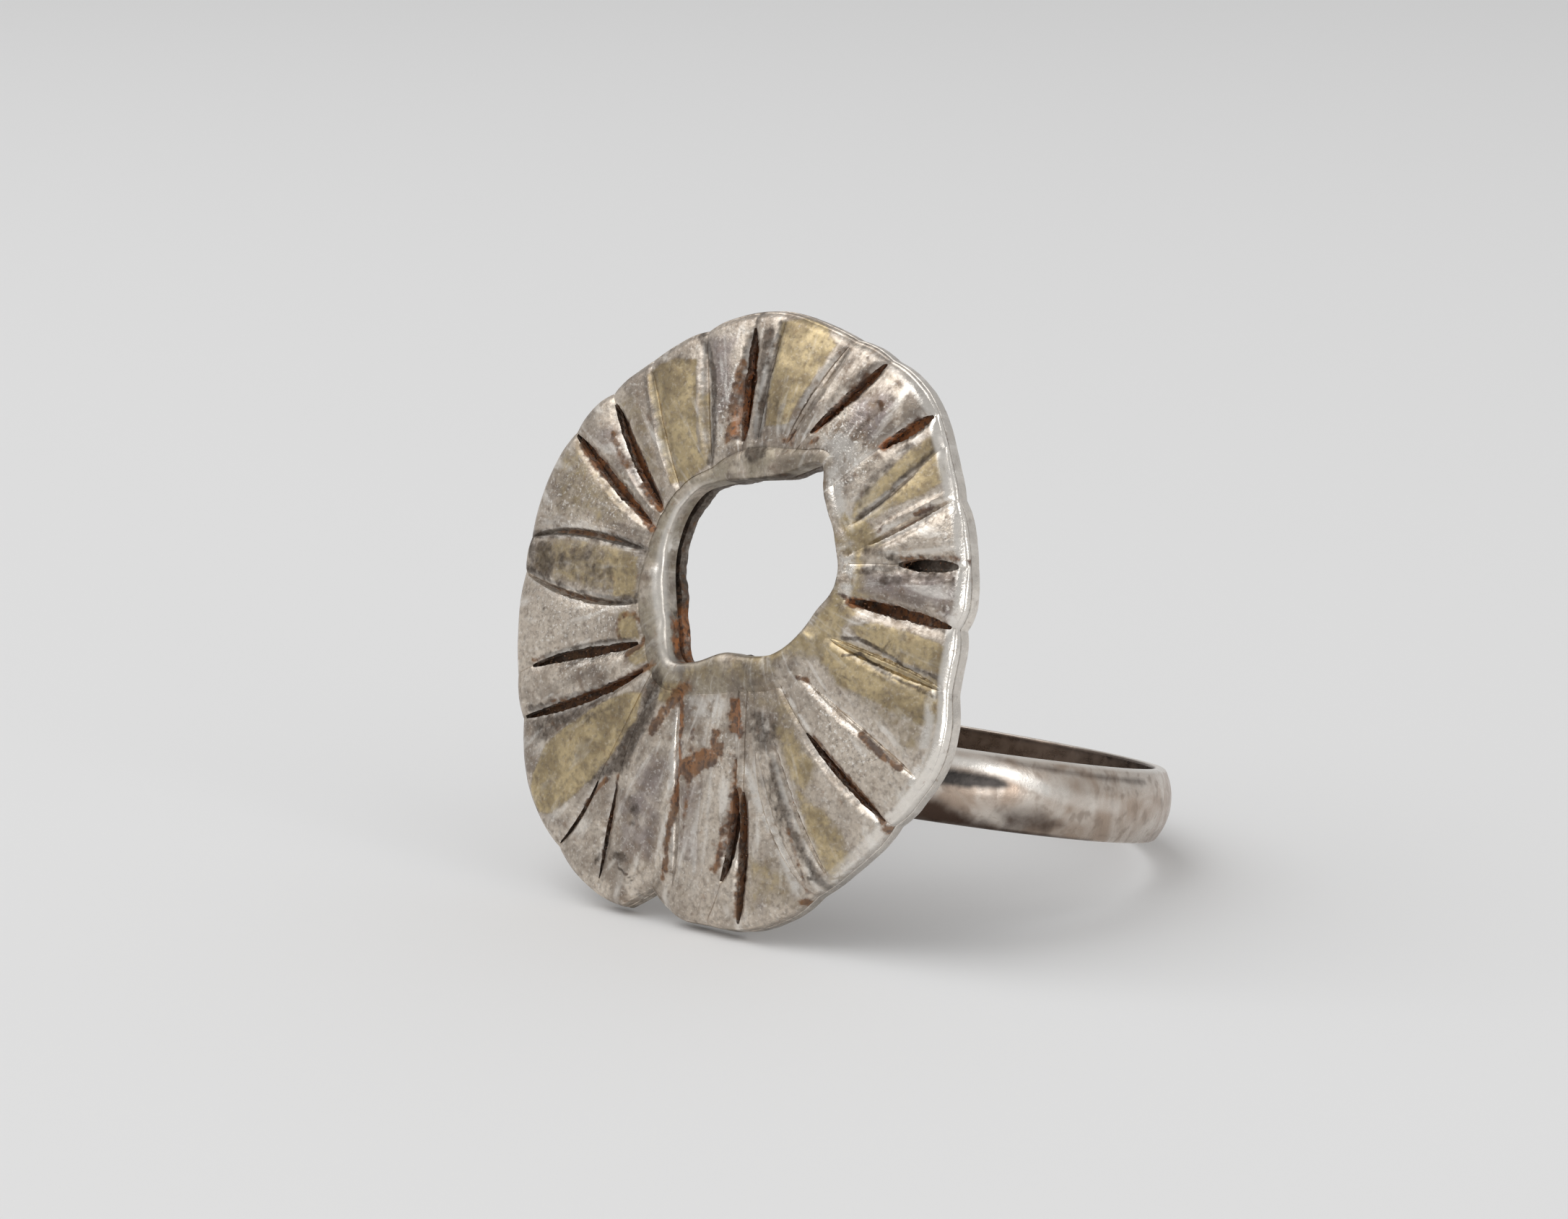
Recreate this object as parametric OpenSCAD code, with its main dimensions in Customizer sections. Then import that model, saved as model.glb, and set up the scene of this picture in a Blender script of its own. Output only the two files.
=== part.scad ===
// Silver finger ring: a plain half-round shank soldered behind a flower-shaped head.
// The head is two sheets with a hollow between them: a flat back sheet, and a front sheet
// that is chased, slit, rolled over at the rim and turned in round a central hole.
// The ring stands as it rests by itself: on the two lowest lobes of the head and on the
// back of the shank, so the head leans back. All sizes are in millimetres.

/* [Shank] */
// Inside diameter of the shank, which is the finger size
finger_d = 17.5; // [17:0.1:18.5]
// Width of the shank along the finger
shank_w = 2.55; // [2.2:0.05:3]
// Thickness of the shank at the crown of its half-round outside
shank_t = 0.75; // [0.65:0.05:0.9]
// Thickness of the shank at its two edges
shank_edge_t = 0.35; // [0.25:0.05:0.45]

/* [Head] */
// Height of the hole's centre above the middle of the shank
hole_up = 6.15; // [6:0.05:6.4]
// Distance of the hole's centre to the right of the middle of the shank
hole_right = 0.45; // [0:0.05:0.8]
// Thickness of the flat back sheet
back_t = 0.45; // [0.4:0.05:0.5]
// Thickness of the front sheet
front_t = 0.4; // [0.3:0.05:0.45]
// Height of the front face above the back face, beside the lip
foot_h = 1.36; // [1.25:0.01:1.4]
// Height of the front face above the back face, where it rolls over at the rim
shoulder_h = 1.0; // [0.95:0.01:1.05]
// Width of the roll at the rim
roll_w = 0.42; // [0.4:0.01:0.5]
// Rise of the lip above the front face, where the lip is widest
lip_rise = 0.24; // [0.1:0.01:0.3]
// Height above the back face at which the turned-in lip ends
lip_end_h = 0.75; // [0.65:0.01:0.8]
// Height by which each petal swells between its two cuts
petal_rise = 0.06; // [0:0.01:0.1]
// Depth of the bite out of the lower edge
bite_depth = 0.85; // [0.4:0.05:0.9]

/* [Fit of the pieces] */
// Depth to which the crown of the shank is let into the back sheet
shank_sink = 0.12; // [0.08:0.01:0.16]
// Depth to which the front sheet's rim is soldered into the back sheet
seam_sink = 0.06; // [0.04:0.01:0.1]
// Step between the two sheets all round the rim
seam_step = 0.04; // [0.02:0.01:0.08]
// Length of the solder along the back sheet
solder_l = 4.4; // [3.6:0.1:5]
// Height to which the solder stands behind the back sheet
solder_h = 0.3; // [0.2:0.01:0.34]

/* [Hidden] */

// Rim of the head about the hole's centre: angle from the right, anticlockwise, and radius
rim_rows = [
    [0, 8.52], [15, 8.32], [30, 8.18], [49, 8.58], [62, 8.45],
    [78, 8.32], [98, 8.65], [118, 8.66], [137, 8.92], [151, 9.52],
    [166, 10.05], [181, 10.38], [198, 10.85], [215, 11.62], [228, 12.50],
    [247, 12.88], [258, 12.42], [269, 12.11], [277, 12.12], [286, 11.72],
    [300, 10.82], [318, 10.22], [327, 10.00], [334, 9.52], [341, 8.86],
    [350, 8.56]
];
// Edge of the hole: angle, radius, and width of the lip there
hole_rows = [
    [0, 3.60, 0.5], [24, 3.54, 0.5], [38, 3.58, 0.5], [50, 3.84, 0.5], [58, 4.32, 0.5],
    [70, 3.55, 0.8], [82, 3.02, 1.05], [108, 2.92, 1.0], [127, 3.20, 0.6], [145, 3.60, 0.5],
    [178, 3.68, 0.75], [200, 3.70, 1.2], [216, 3.90, 1.15], [233, 4.40, 1.05], [243, 3.86, 1.3],
    [258, 3.05, 1.5], [275, 2.95, 1.25], [300, 3.10, 1.2], [325, 3.12, 1.0], [341, 3.20, 0.8],
    [353, 3.50, 0.6]
];
RADIUS = 1;
LIP_W = 2;

// Cuts in the front sheet, anticlockwise from the right. Each row gives the cut's angle at the
// lip and at the rim, how far its middle bows from the straight line between them, where it
// starts and ends from 0 at the lip to 1 at the roll, its width, its depth, and the depth of the
// nick that it leaves in the rim. A slit's depth is SLIT, and a raised line's is negative.
LIP_A = 0;
RIM_A = 1;
BOW_A = 2;
START = 3;
END = 4;
WIDTH = 5;
DEPTH = 6;
NICK = 7;
SLIT = 9;
cut_rows = [
    [8.5, 7.5, 0, 0.45, 0.98, 0.40, SLIT, 0.02],
    [13, 23.5, 1, 0.20, 0.98, 0.30, 0.12, 0.10],
    [25.5, 35.5, 0, 0.05, 0.72, 0.25, 0.08, 0],
    [46.5, 43.2, 0, 0.50, 0.98, 0.40, SLIT, 0],
    [74, 61.5, -2, 0.16, 0.98, 0.38, SLIT, 0.08],
    [81, 72.5, -1, 0.10, 0.96, 0.45, 0.08, 0.06],
    [98, 93, 0, 0.10, 0.96, 0.30, 0.12, 0],
    [106.2, 101.5, -1.2, 0.08, 0.87, 0.32, SLIT, 0],
    [126.5, 116.5, -1.5, 0.04, 0.96, 0.35, 0.12, 0.10],
    [148, 133.5, -2, 0.04, 0.90, 0.30, 0.10, 0],
    [159, 146.2, -1.5, 0.04, 0.88, 0.44, SLIT, 0.14],
    [170, 158.4, -1.6, 0.04, 0.97, 0.40, SLIT, 0.08],
    [180.5, 181.5, -2.5, 0.04, 0.97, 0.32, 0.20, 0.04],
    [202, 188.2, 0, 0.04, 0.97, 0.32, 0.20, 0.08],
    [217.4, 207, -3, 0.04, 0.84, 0.36, SLIT, 0],
    [226.6, 214.8, -0.8, 0.04, 0.97, 0.34, SLIT, 0.12],
    [229.5, 237, 4, 0.60, 0.97, 0.20, SLIT, 0.10],
    [233.5, 248.1, 0.6, 0.52, 0.92, 0.20, SLIT, 0],
    [245.2, 262, 5, 0.05, 0.87, 0.28, 0.14, 0],
    [262, 268, 1.5, 0.05, 0.84, 0.30, -0.05, 0],
    [274.3, 270.4, 3.4, 0.42, 0.80, 0.34, SLIT, 0],
    [278.9, 276.9, 0.4, 0.43, 0.97, 0.30, SLIT, 0.03],
    [283, 292.3, -3, 0.35, 0.97, 0.30, -0.08, 0.12],
    [289, 297, -1, 0.30, 0.97, 0.28, 0.15, 0],
    [298.8, 312.4, 0.6, 0.35, 0.98, 0.26, SLIT, 0.14],
    [311, 323, 2.4, 0.07, 0.94, 0.26, 0.14, 0],
    [332.6, 340.2, 1.6, 0.10, 0.97, 0.45, 0.10, 0.04],
    [352, 353.6, 0.6, 0.04, 0.98, 0.38, SLIT, 0.20]
];
// Angle over which a nick dies away to each side, and where the bite is and how far it reaches
nick_reach = 6;
bite_a = 257.5;
bite_reach = 4.5;

// How the sheet is divided: steps along a cut, and the widest petal strip in degrees
cut_steps = 4;
strip_a = 5;
// Share of its width that a cut keeps at its two ends
end_share = 0.4;
// How steeply the front face falls towards the rim
dome_power = 2.2;
// Depth of the chased line that runs on from each end of a slit
tail_depth = 0.05;
// Width of lip at which the lip stands at its full height
full_lip_w = 1.2;
// Outside of the lip: share of its width out from the hole, and drop below its crest
lip_rows = [[0, 0.22], [0.2, 0], [0.6, 0.04]];
// Inside of the lip: distance out from the turned-in sheet, and drop below the sheet's crest
under_lip_rows = [[0, 0.12], [0.02, 0.02], [0.05, 0]];
// Outside of the roll: share of its width in from the rim, and drop below the shoulder
roll_rows = [[0.3, 0.13], [0, 0.36]];
OUT = 0;
DROP = 1;
// Gap that keeps the inside of the roll from pinching to nothing
roll_slack = 0.02;
// How much larger the hole is in the back sheet
back_hole_extra = 0.12;
// Angle between the points of the back sheet's outline
outline_a = 2;
// Angle between the points at which the lowest place of the rim is looked for
search_a = 0.5;
// Overlap of the shank's flat inside and round outside
crown_overlap = 0.01;
// How far the solder stays inside the two edges of the shank
solder_inset = 0.15;
// Steps round the shank, and round its half-round section
bore_steps = 180;
crown_steps = 90;

shank_r = finger_d / 2;
head_back = shank_r + shank_t - shank_sink;
head_low = max([for (a = [180 : search_a : 360]) -rim_r(a) * sin(a)]);
lean = atan2(head_low - hole_up - shank_w / 2, head_back + shank_r + shank_edge_t);

// Smooth curve through the rows of a closed table, by the cubic rule between neighbours
function row_at(rows, k, column) =
    let(n = len(rows), turn = floor(k / n), row = rows[k - n * turn])
    [row[0] + 360 * turn, row[column]];
function row_slope(rows, k, column) =
    let(before = row_at(rows, k - 1, column), after = row_at(rows, k + 1, column))
    (after[1] - before[1]) / (after[0] - before[0]);
function smooth_at(rows, angle, column) =
    let(a = angle - 360 * floor(angle / 360),
        k = len([for (row = rows) if (row[0] <= a) row]) - 1,
        p = row_at(rows, k, column),
        q = row_at(rows, k + 1, column),
        span = q[0] - p[0],
        s = (a - p[0]) / span,
        leave = row_slope(rows, k, column) * span,
        arrive = row_slope(rows, k + 1, column) * span)
    p[1] * (1 + 2 * s) * (1 - s) ^ 2 + q[1] * s ^ 2 * (3 - 2 * s)
    + leave * s * (1 - s) ^ 2 - arrive * s ^ 2 * (1 - s);

// Nicks and the bite take a sharp bite out of the smooth rim
function turn_gap(a, b) = abs((a - b + 540) % 360 - 180);
function notch(a, centre, depth, reach, power) =
    depth * max(0, 1 - turn_gap(a, centre) / reach) ^ power;
function sum(list) = list * [for (x = list) 1];
function rim_r(a) =
    smooth_at(rim_rows, a, RADIUS)
    - sum([for (cut = cut_rows) notch(a, cut[RIM_A], cut[NICK], nick_reach, 2)])
    - notch(a, bite_a, bite_depth, bite_reach, 1);
function hole_r(a) = smooth_at(hole_rows, a, RADIUS);
function lip_w(a) = smooth_at(hole_rows, a, LIP_W);
function lip_foot_r(a) = hole_r(a) + lip_w(a);

// Path of a cut from the lip to the roll, and the steps at which the sheet is divided along it
function mix(a, b, s) = a + (b - a) * s;
function cut_a(cut, f) = mix(cut[LIP_A], cut[RIM_A], f) + cut[BOW_A] * 4 * f * (1 - f);
function cut_f(cut) =
    [0, for (k = [0 : cut_steps]) mix(cut[START], cut[END], k / cut_steps), 1];
first_open = 1;
last_open = first_open + cut_steps;
panel_rows = cut_steps + 3;
function is_slit(cut) = cut[DEPTH] == SLIT;
function in_cut(row) = row >= first_open && row <= last_open;
function cut_share(row) =
    in_cut(row) ? mix(end_share, 1, sin(180 * (row - first_open) / cut_steps)) : end_share;

// One line of the sheet from the lip to the roll: for each step its place from 0 to 1, its
// angle, and its height above or below the smooth face
function edge_line(cut, side) =
    let(f = cut_f(cut),
        inner = lip_foot_r(cut_a(cut, 0)),
        outer = rim_r(cut_a(cut, 1)) - roll_w)
    [for (k = [0 : panel_rows - 1])
        let(half = cut[WIDTH] * cut_share(k) / 2,
            turn = side * half / mix(inner, outer, f[k]) * 180 / PI)
        [f[k], cut_a(cut, f[k]) + turn,
            is_slit(cut) && !in_cut(k) && k < panel_rows - 1 ? -tail_depth : 0]];
function floor_line(cut) =
    let(f = cut_f(cut))
    [for (k = [0 : panel_rows - 1])
        [f[k], cut_a(cut, f[k]), in_cut(k) ? -cut[DEPTH] * cut_share(k) : 0]];
function petal_line(one, other, s) =
    [for (k = [0 : panel_rows - 1])
        let(here = mix(one[k], other[k], s))
        [here[0], here[1], here[2] + petal_rise * 4 * s * (1 - s)]];

// The next cut round the head, with its angles carried on past a whole turn
function cut_after(k) =
    let(next = cut_rows[(k + 1) % len(cut_rows)], turn = k + 1 == len(cut_rows) ? 360 : 0)
    [for (c = [0 : NICK]) next[c] + (c <= RIM_A ? turn : 0)];
function petal_strips(cut, next) =
    max(1, ceil((cut_a(next, 1) - cut_a(cut, 1)) / strip_a));

// All lines of the sheet, each with whether the strip after it is the open part of a slit
sheet_lines = [
    for (k = [0 : len(cut_rows) - 1])
        let(cut = cut_rows[k],
            next = cut_after(k),
            left = edge_line(cut, 1),
            right = edge_line(cut, -1),
            strips = petal_strips(cut, next))
        each [
            [right, is_slit(cut)],
            if (!is_slit(cut)) [floor_line(cut), false],
            [left, false],
            for (s = [1 : strips - 1]) [petal_line(left, edge_line(next, -1), s / strips), false]
        ]
];

// Section of the front sheet along one line: its outer points and then its inner points, each
// from the lip's end over the crest, the petals and the roll down to the seam
function face_h(f) = mix(foot_h, shoulder_h, f ^ dome_power);
function section_points(line) =
    let(a0 = line[0][1],
        a1 = line[panel_rows - 1][1],
        hole = hole_r(a0),
        lip = lip_w(a0),
        crest = foot_h + lip_rise * min(1, lip / full_lip_w),
        rim = rim_r(a1) - seam_step,
        face = [for (p = line) [mix(hole + lip, rim - roll_w, p[0]), face_h(p[0]) + p[2], p[1]]])
    [
        [hole, lip_end_h, a0],
        each [for (row = lip_rows) [hole + row[OUT] * lip, crest - row[DROP], a0]],
        each face,
        each [for (row = roll_rows) [rim - row[OUT] * roll_w, shoulder_h - row[DROP], a1]],
        [rim, back_t - seam_sink, a1],
        [hole + front_t, lip_end_h, a0],
        each [for (row = under_lip_rows) [hole + front_t + row[OUT], crest - front_t - row[DROP], a0]],
        each [for (p = face) [p[0], p[1] - front_t, p[2]]],
        [rim - roll_w - roll_slack, shoulder_h - front_t - 2 * roll_slack, a1],
        [rim - front_t, back_t + seam_sink, a1],
        [rim - front_t, back_t - seam_sink, a1]
    ];
function round_point(p) = [p[0] * cos(p[2]), p[0] * sin(p[2]), p[1]];

lip_points = len(lip_rows) + 1;
section_rows = lip_points + panel_rows + len(roll_rows) + 1;
loop_points = 2 * section_rows;
line_count = len(sheet_lines);
sheet_points = [
    for (entry = sheet_lines)
        for (p = section_points(entry[0])) round_point(p)
];

// Numbers of the points of one line: going out along the outside, and back along the inside
function outer_at(line, row) = (line % line_count) * loop_points + row;
function inner_at(line, row) = outer_at(line, section_rows + row);
function two_faces(a, b, c, d) = [[a, c, b], [a, d, c]];
slit_from = lip_points + first_open;
slit_to = lip_points + last_open;
sheet_faces = [
    for (k = [0 : line_count - 1])
        let(open = sheet_lines[k][1])
        each [
            each two_faces(outer_at(k, 0), outer_at(k + 1, 0), inner_at(k + 1, 0), inner_at(k, 0)),
            each two_faces(inner_at(k, section_rows - 1), inner_at(k + 1, section_rows - 1),
                outer_at(k + 1, section_rows - 1), outer_at(k, section_rows - 1)),
            for (row = [0 : section_rows - 2])
                if (!open || row < slit_from || row >= slit_to)
                    each concat(
                        two_faces(outer_at(k, row), outer_at(k, row + 1),
                            outer_at(k + 1, row + 1), outer_at(k + 1, row)),
                        two_faces(inner_at(k, row), inner_at(k + 1, row),
                            inner_at(k + 1, row + 1), inner_at(k, row + 1)))
                else
                    each concat(
                        two_faces(outer_at(k, row), outer_at(k, row + 1),
                            inner_at(k, row + 1), inner_at(k, row)),
                        two_faces(outer_at(k + 1, row + 1), outer_at(k + 1, row),
                            inner_at(k + 1, row), inner_at(k + 1, row + 1))),
            if (open)
                each two_faces(outer_at(k, slit_from), inner_at(k, slit_from),
                    inner_at(k + 1, slit_from), outer_at(k + 1, slit_from)),
            if (open)
                each two_faces(outer_at(k + 1, slit_to), inner_at(k + 1, slit_to),
                    inner_at(k, slit_to), outer_at(k, slit_to))
        ]
];

// Front sheet, lying flat with the hole's centre at the origin and its face up
module front_sheet() {
    polyhedron(points = sheet_points, faces = sheet_faces);
}

// Back sheet, lying flat under the front sheet
module back_sheet() {
    linear_extrude(back_t)
        difference() {
            polygon([for (a = [0 : outline_a : 360 - outline_a]) rim_r(a) * [cos(a), sin(a)]]);
            polygon([for (a = [0 : 2 * outline_a : 360 - outline_a])
                (hole_r(a) + back_hole_extra) * [cos(a), sin(a)]]);
        }
}

// Shank: a band with a plain round bore, flat inside and half-round outside
module shank() {
    crown = shank_t - shank_edge_t;
    crown_r = (crown ^ 2 + (shank_w / 2) ^ 2) / (2 * crown);
    rotate_extrude($fn = bore_steps)
        union() {
            translate([shank_r, -shank_w / 2])
                square([shank_edge_t + crown_overlap, shank_w]);
            intersection() {
                translate([shank_r + shank_t - crown_r, 0])
                    circle(r = crown_r, $fn = crown_steps);
                translate([shank_r + shank_edge_t, -shank_w / 2])
                    square([shank_t, shank_w]);
            }
        }
}

// Solder that fills the narrow gap between the shank and the back sheet
module solder() {
    difference() {
        translate([-solder_l / 2, -head_back - back_t / 2, -shank_w / 2 + solder_inset])
            cube([solder_l, back_t / 2 + solder_h, shank_w - 2 * solder_inset]);
        cylinder(h = 2 * shank_w, r = shank_r + shank_edge_t / 2, center = true,
            $fn = bore_steps);
    }
}

// The whole ring, with the centre of the finger hole at the origin
module ring() {
    color([0.75, 0.73, 0.69])
        rotate([-lean, 0, 0])
            union() {
                translate([hole_right, -head_back, hole_up])
                    rotate([90, 0, 0]) {
                        front_sheet();
                        back_sheet();
                    }
                shank();
                solder();
            }
}

ring();
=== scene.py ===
# %% [markdown]
# # A silver finger ring with a flower-shaped head
#
# The ring is made of thin silver sheet. A flat back sheet and a chased and slit front sheet are
# soldered together at their rims with a hollow between them, and a half-round band is soldered
# behind. The solid model already holds the true shape and size. Here each sheet is built again
# with the small forms that a maker sees: rolled petal edges, chased lines, gilding and tarnish.

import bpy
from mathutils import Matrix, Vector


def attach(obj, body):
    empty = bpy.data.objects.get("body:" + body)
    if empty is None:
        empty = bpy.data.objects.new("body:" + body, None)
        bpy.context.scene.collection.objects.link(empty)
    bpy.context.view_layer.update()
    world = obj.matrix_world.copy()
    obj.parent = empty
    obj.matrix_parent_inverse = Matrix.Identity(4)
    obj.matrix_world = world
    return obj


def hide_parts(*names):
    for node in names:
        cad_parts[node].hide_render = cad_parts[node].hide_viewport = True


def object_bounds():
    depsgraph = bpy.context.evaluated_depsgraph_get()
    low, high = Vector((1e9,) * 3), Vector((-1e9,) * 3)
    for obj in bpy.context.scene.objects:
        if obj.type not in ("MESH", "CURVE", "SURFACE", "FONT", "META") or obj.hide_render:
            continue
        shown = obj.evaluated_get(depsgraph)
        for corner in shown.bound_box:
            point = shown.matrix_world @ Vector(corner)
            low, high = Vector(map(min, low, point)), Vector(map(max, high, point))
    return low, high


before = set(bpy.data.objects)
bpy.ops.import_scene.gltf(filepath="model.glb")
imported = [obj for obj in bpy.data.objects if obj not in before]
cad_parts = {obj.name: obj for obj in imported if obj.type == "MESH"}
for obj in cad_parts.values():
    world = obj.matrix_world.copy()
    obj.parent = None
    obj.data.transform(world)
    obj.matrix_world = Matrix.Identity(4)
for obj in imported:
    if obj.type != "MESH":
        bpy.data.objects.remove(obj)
solid_low, solid_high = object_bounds()
print("solid model, mm:", [round(1000 * (h - l), 2) for l, h in zip(solid_low, solid_high)])

# %% [markdown]
# The same named sizes as in the solid model are repeated in millimetres. The head is worked out
# lying flat, with `u` to its right, `v` up and `w` out of its face, and the centre of its hole at
# zero. `place` then stands it against the band and leans the whole ring back.

# %% Sizes and the place of the head
import bmesh
import bpy
import math
import numpy as np
from mathutils import Matrix, Vector, noise

MM = 0.001
FINGER_R, SHANK_W, SHANK_T, SHANK_EDGE_T = 8.75, 2.55, 0.75, 0.35
HOLE_UP, HOLE_RIGHT = 6.15, 0.45
BACK_T, FRONT_T = 0.45, 0.40
FOOT_H, ROLL_W, BEND_W, BEND_H, SEAM_STEP = 1.36, 0.10, 0.25, 0.14, 0.04
LIP_RISE, LIP_END_H, FULL_LIP_W = 0.24, 0.75, 1.2
HEAD_BACK = FINGER_R + SHANK_T - 0.12
LEAN = math.radians(14.3865)


def lean_back(points):
    """Points of the upright ring, in mm, to the row's frame in metres."""
    x, y, z = np.asarray(points, float).T
    return MM * np.stack([x, y * math.cos(LEAN) + z * math.sin(LEAN),
                          z * math.cos(LEAN) - y * math.sin(LEAN)], 1)


def place(u, v, w):
    """Points of the flat head, in mm, to the row's frame in metres."""
    u, v, w = (np.asarray(c, float).ravel() for c in (u, v, w))
    return lean_back(np.stack([u + HOLE_RIGHT, -HEAD_BACK - w, v + HOLE_UP], 1))


# %% [markdown]
# The rim and the hole are closed curves through a few measured points. Between two points the
# curve follows a cubic rule, so it has no corners except where a nick is cut.

# %% Curves of the rim and the hole
RIM_ROWS = [  # angle, radius
    (0, 8.52), (15, 8.32), (30, 8.18), (49, 8.58), (62, 8.45), (78, 8.32), (98, 8.65),
    (118, 8.66), (137, 8.92), (151, 9.52), (166, 10.05), (181, 10.38), (198, 10.85),
    (215, 11.62), (228, 12.50), (247, 12.88), (258, 12.42), (269, 12.11), (277, 12.12),
    (286, 11.72), (300, 10.82), (318, 10.22), (327, 10.00), (334, 9.52), (341, 8.86),
    (350, 8.56)]
HOLE_ROWS = [  # angle, radius, width of the lip
    (0, 3.60, 0.5), (24, 3.54, 0.5), (38, 3.58, 0.5), (50, 3.84, 0.5), (58, 4.32, 0.5),
    (70, 3.55, 0.8), (82, 3.02, 1.05), (108, 2.92, 1.0), (127, 3.20, 0.6), (145, 3.60, 0.5),
    (178, 3.68, 0.75), (200, 3.70, 1.2), (216, 3.90, 1.15), (233, 4.40, 1.05),
    (243, 3.86, 1.3), (258, 3.05, 1.5), (275, 2.95, 1.25), (300, 3.10, 1.2),
    (325, 3.12, 1.0), (341, 3.20, 0.8), (353, 3.50, 0.6)]
SHOULDER_ROWS = [  # angle, height at which the face turns down at the rim
    (0, 0.78), (12, 0.76), (24, 0.70), (45, 0.68), (70, 0.72), (92, 0.82), (130, 0.88),
    (200, 0.92), (300, 0.92), (340, 0.84)]
BITE_A, BITE_REACH, BITE_SLOPE, BITE_DEPTH, NICK_REACH = 257.5, 4.5, 9.0, 0.85, 6.0


def closed_curve(rows, column):
    """A function of the angle in degrees that runs smoothly through a closed table."""
    a = np.array([r[0] for r in rows], float)
    y = np.array([r[column] for r in rows], float)
    a, y = np.concatenate([a - 360, a, a + 360]), np.tile(y, 3)
    slope = np.zeros_like(y)
    slope[1:-1] = (y[2:] - y[:-2]) / (a[2:] - a[:-2])

    def value(angle):
        angle = np.mod(np.asarray(angle, float), 360)
        k = np.searchsorted(a, angle, side="right") - 1
        span = a[k + 1] - a[k]
        s = (angle - a[k]) / span
        return (y[k] * (1 + 2 * s) * (1 - s) ** 2 + y[k + 1] * s ** 2 * (3 - 2 * s)
                + slope[k] * span * s * (1 - s) ** 2 - slope[k + 1] * span * s ** 2 * (1 - s))
    return value


smooth_rim = closed_curve(RIM_ROWS, 1)
hole_r = closed_curve(HOLE_ROWS, 1)
lip_w = closed_curve(HOLE_ROWS, 2)
shoulder_h = closed_curve(SHOULDER_ROWS, 1)
print("smooth rim, mm:", np.round(smooth_rim(np.arange(0, 360, 60)), 2))

# %% [markdown]
# Every petal lies between two cuts. A row of this table is one cut, seen by a silversmith: the
# angle where it leaves the lip and where it meets the rim, how far it bows, where it starts and
# ends, how wide and deep it is, the nick it leaves in the rim, and the burr raised on each side.
# A slit goes right through the sheet, a chased line is a groove or two grooves side by side, and
# a negative depth is a ridge. The bite is one deep nick, whose right side slopes more gently here
# than in the solid.

# %% The cuts
SLIT, DOUBLE = 9, -1    # these stand in the place of a depth
CUTS = [  # lip angle, rim angle, bow, start, end, width, depth, nick, burr before, burr after
    (8.5, 7.5, 0, 0.46, 0.96, 0.42, SLIT, 0.02, 0.00, 0.02),
    (13, 23.5, 1, 0.20, 0.99, 0.24, 0.16, 0.10, -0.06, 0.10),
    (25.5, 36.1, 0, 0.05, 0.76, 0.16, 0.09, 0, 0.02, 0.02),
    (46.5, 43.9, 0, 0.50, 0.99, 0.40, SLIT, 0, 0.03, 0.00),
    (74, 62.3, -2, 0.16, 0.99, 0.38, SLIT, 0.08, 0.05, 0.02),
    (81, 73.4, -1, 0.04, 0.96, 0.45, DOUBLE, 0.06, 0.03, 0.02),
    (98, 93.5, 0, 0.04, 0.97, 0.30, 0.14, 0, 0.01, 0.00),
    (106.2, 102.0, -1.2, 0.05, 0.90, 0.44, SLIT, 0, 0.02, 0.02),
    (126.5, 116.9, -1.5, 0.04, 0.98, 0.30, 0.12, 0.10, 0.00, 0.04),
    (148, 133.7, -2, 0.02, 0.92, 0.22, 0.10, 0, 0.00, 0.09),
    (161.2, 146.2, -1.5, 0.02, 0.92, 0.48, SLIT, 0.14, 0.04, 0.03),
    (170, 158.4, -1.6, 0.04, 0.99, 0.42, SLIT, 0.08, 0.00, 0.03),
    (180.5, 181.5, -2.5, 0.04, 0.98, 0.32, 0.22, 0.04, 0.04, 0.00),
    (202, 188.2, 0, 0.04, 0.98, 0.30, 0.20, 0.08, 0.05, 0.00),
    (217.4, 207, -3, 0.03, 0.86, 0.36, SLIT, 0, 0.00, 0.00),
    (226.6, 214.8, -0.8, 0.03, 0.98, 0.36, SLIT, 0.12, 0.04, 0.00),
    (229.5, 237, 3, 0.58, 0.99, 0.15, SLIT, 0.10, 0.02, 0.05),
    (233.5, 248.1, 0.6, 0.50, 0.94, 0.18, SLIT, 0, 0.06, 0.00),
    (245.2, 262, 5, 0.02, 0.89, 0.26, 0.16, 0, 0.05, 0.00),
    (262, 268, 1.5, 0.02, 0.90, 0.40, -0.05, 0, 0.00, 0.00),
    (274.3, 270.4, 3.4, 0.40, 0.82, 0.38, SLIT, 0, 0.06, 0.02),
    (278.9, 276.9, 0.4, 0.41, 0.99, 0.36, SLIT, 0.03, 0.02, 0.02),
    (283, 292.3, -3, 0.30, 0.98, 0.34, -0.11, 0.12, 0.00, 0.00),
    (289, 297, -1, 0.25, 0.98, 0.26, 0.15, 0, 0.03, 0.00),
    (298.8, 312.4, 0.6, 0.30, 0.99, 0.28, SLIT, 0.14, 0.05, 0.02),
    (311, 323, 2.4, 0.04, 0.95, 0.22, 0.14, 0, 0.04, 0.00),
    (332.6, 340.2, 1.6, 0.04, 0.98, 0.45, DOUBLE, 0.04, 0.02, 0.02),
    (352, 353.6, 0.6, 0.03, 0.99, 0.40, SLIT, 0.20, 0.00, 0.02)]
LIP_A, RIM_A, BOW, START, END, WIDTH, DEPTH, NICK, BURR_BEFORE, BURR_AFTER = range(10)
NICK_CURVE, BITE_CURVE = 2, 1.6


def off(a, centre):
    """How far an angle is past another, in degrees from -180 to 180."""
    return (np.asarray(a, float) - centre + 540) % 360 - 180


def notch(a, centre, depth, reach, power):
    return depth * np.clip(1 - np.abs(off(a, centre)) / reach, 0, None) ** power


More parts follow.
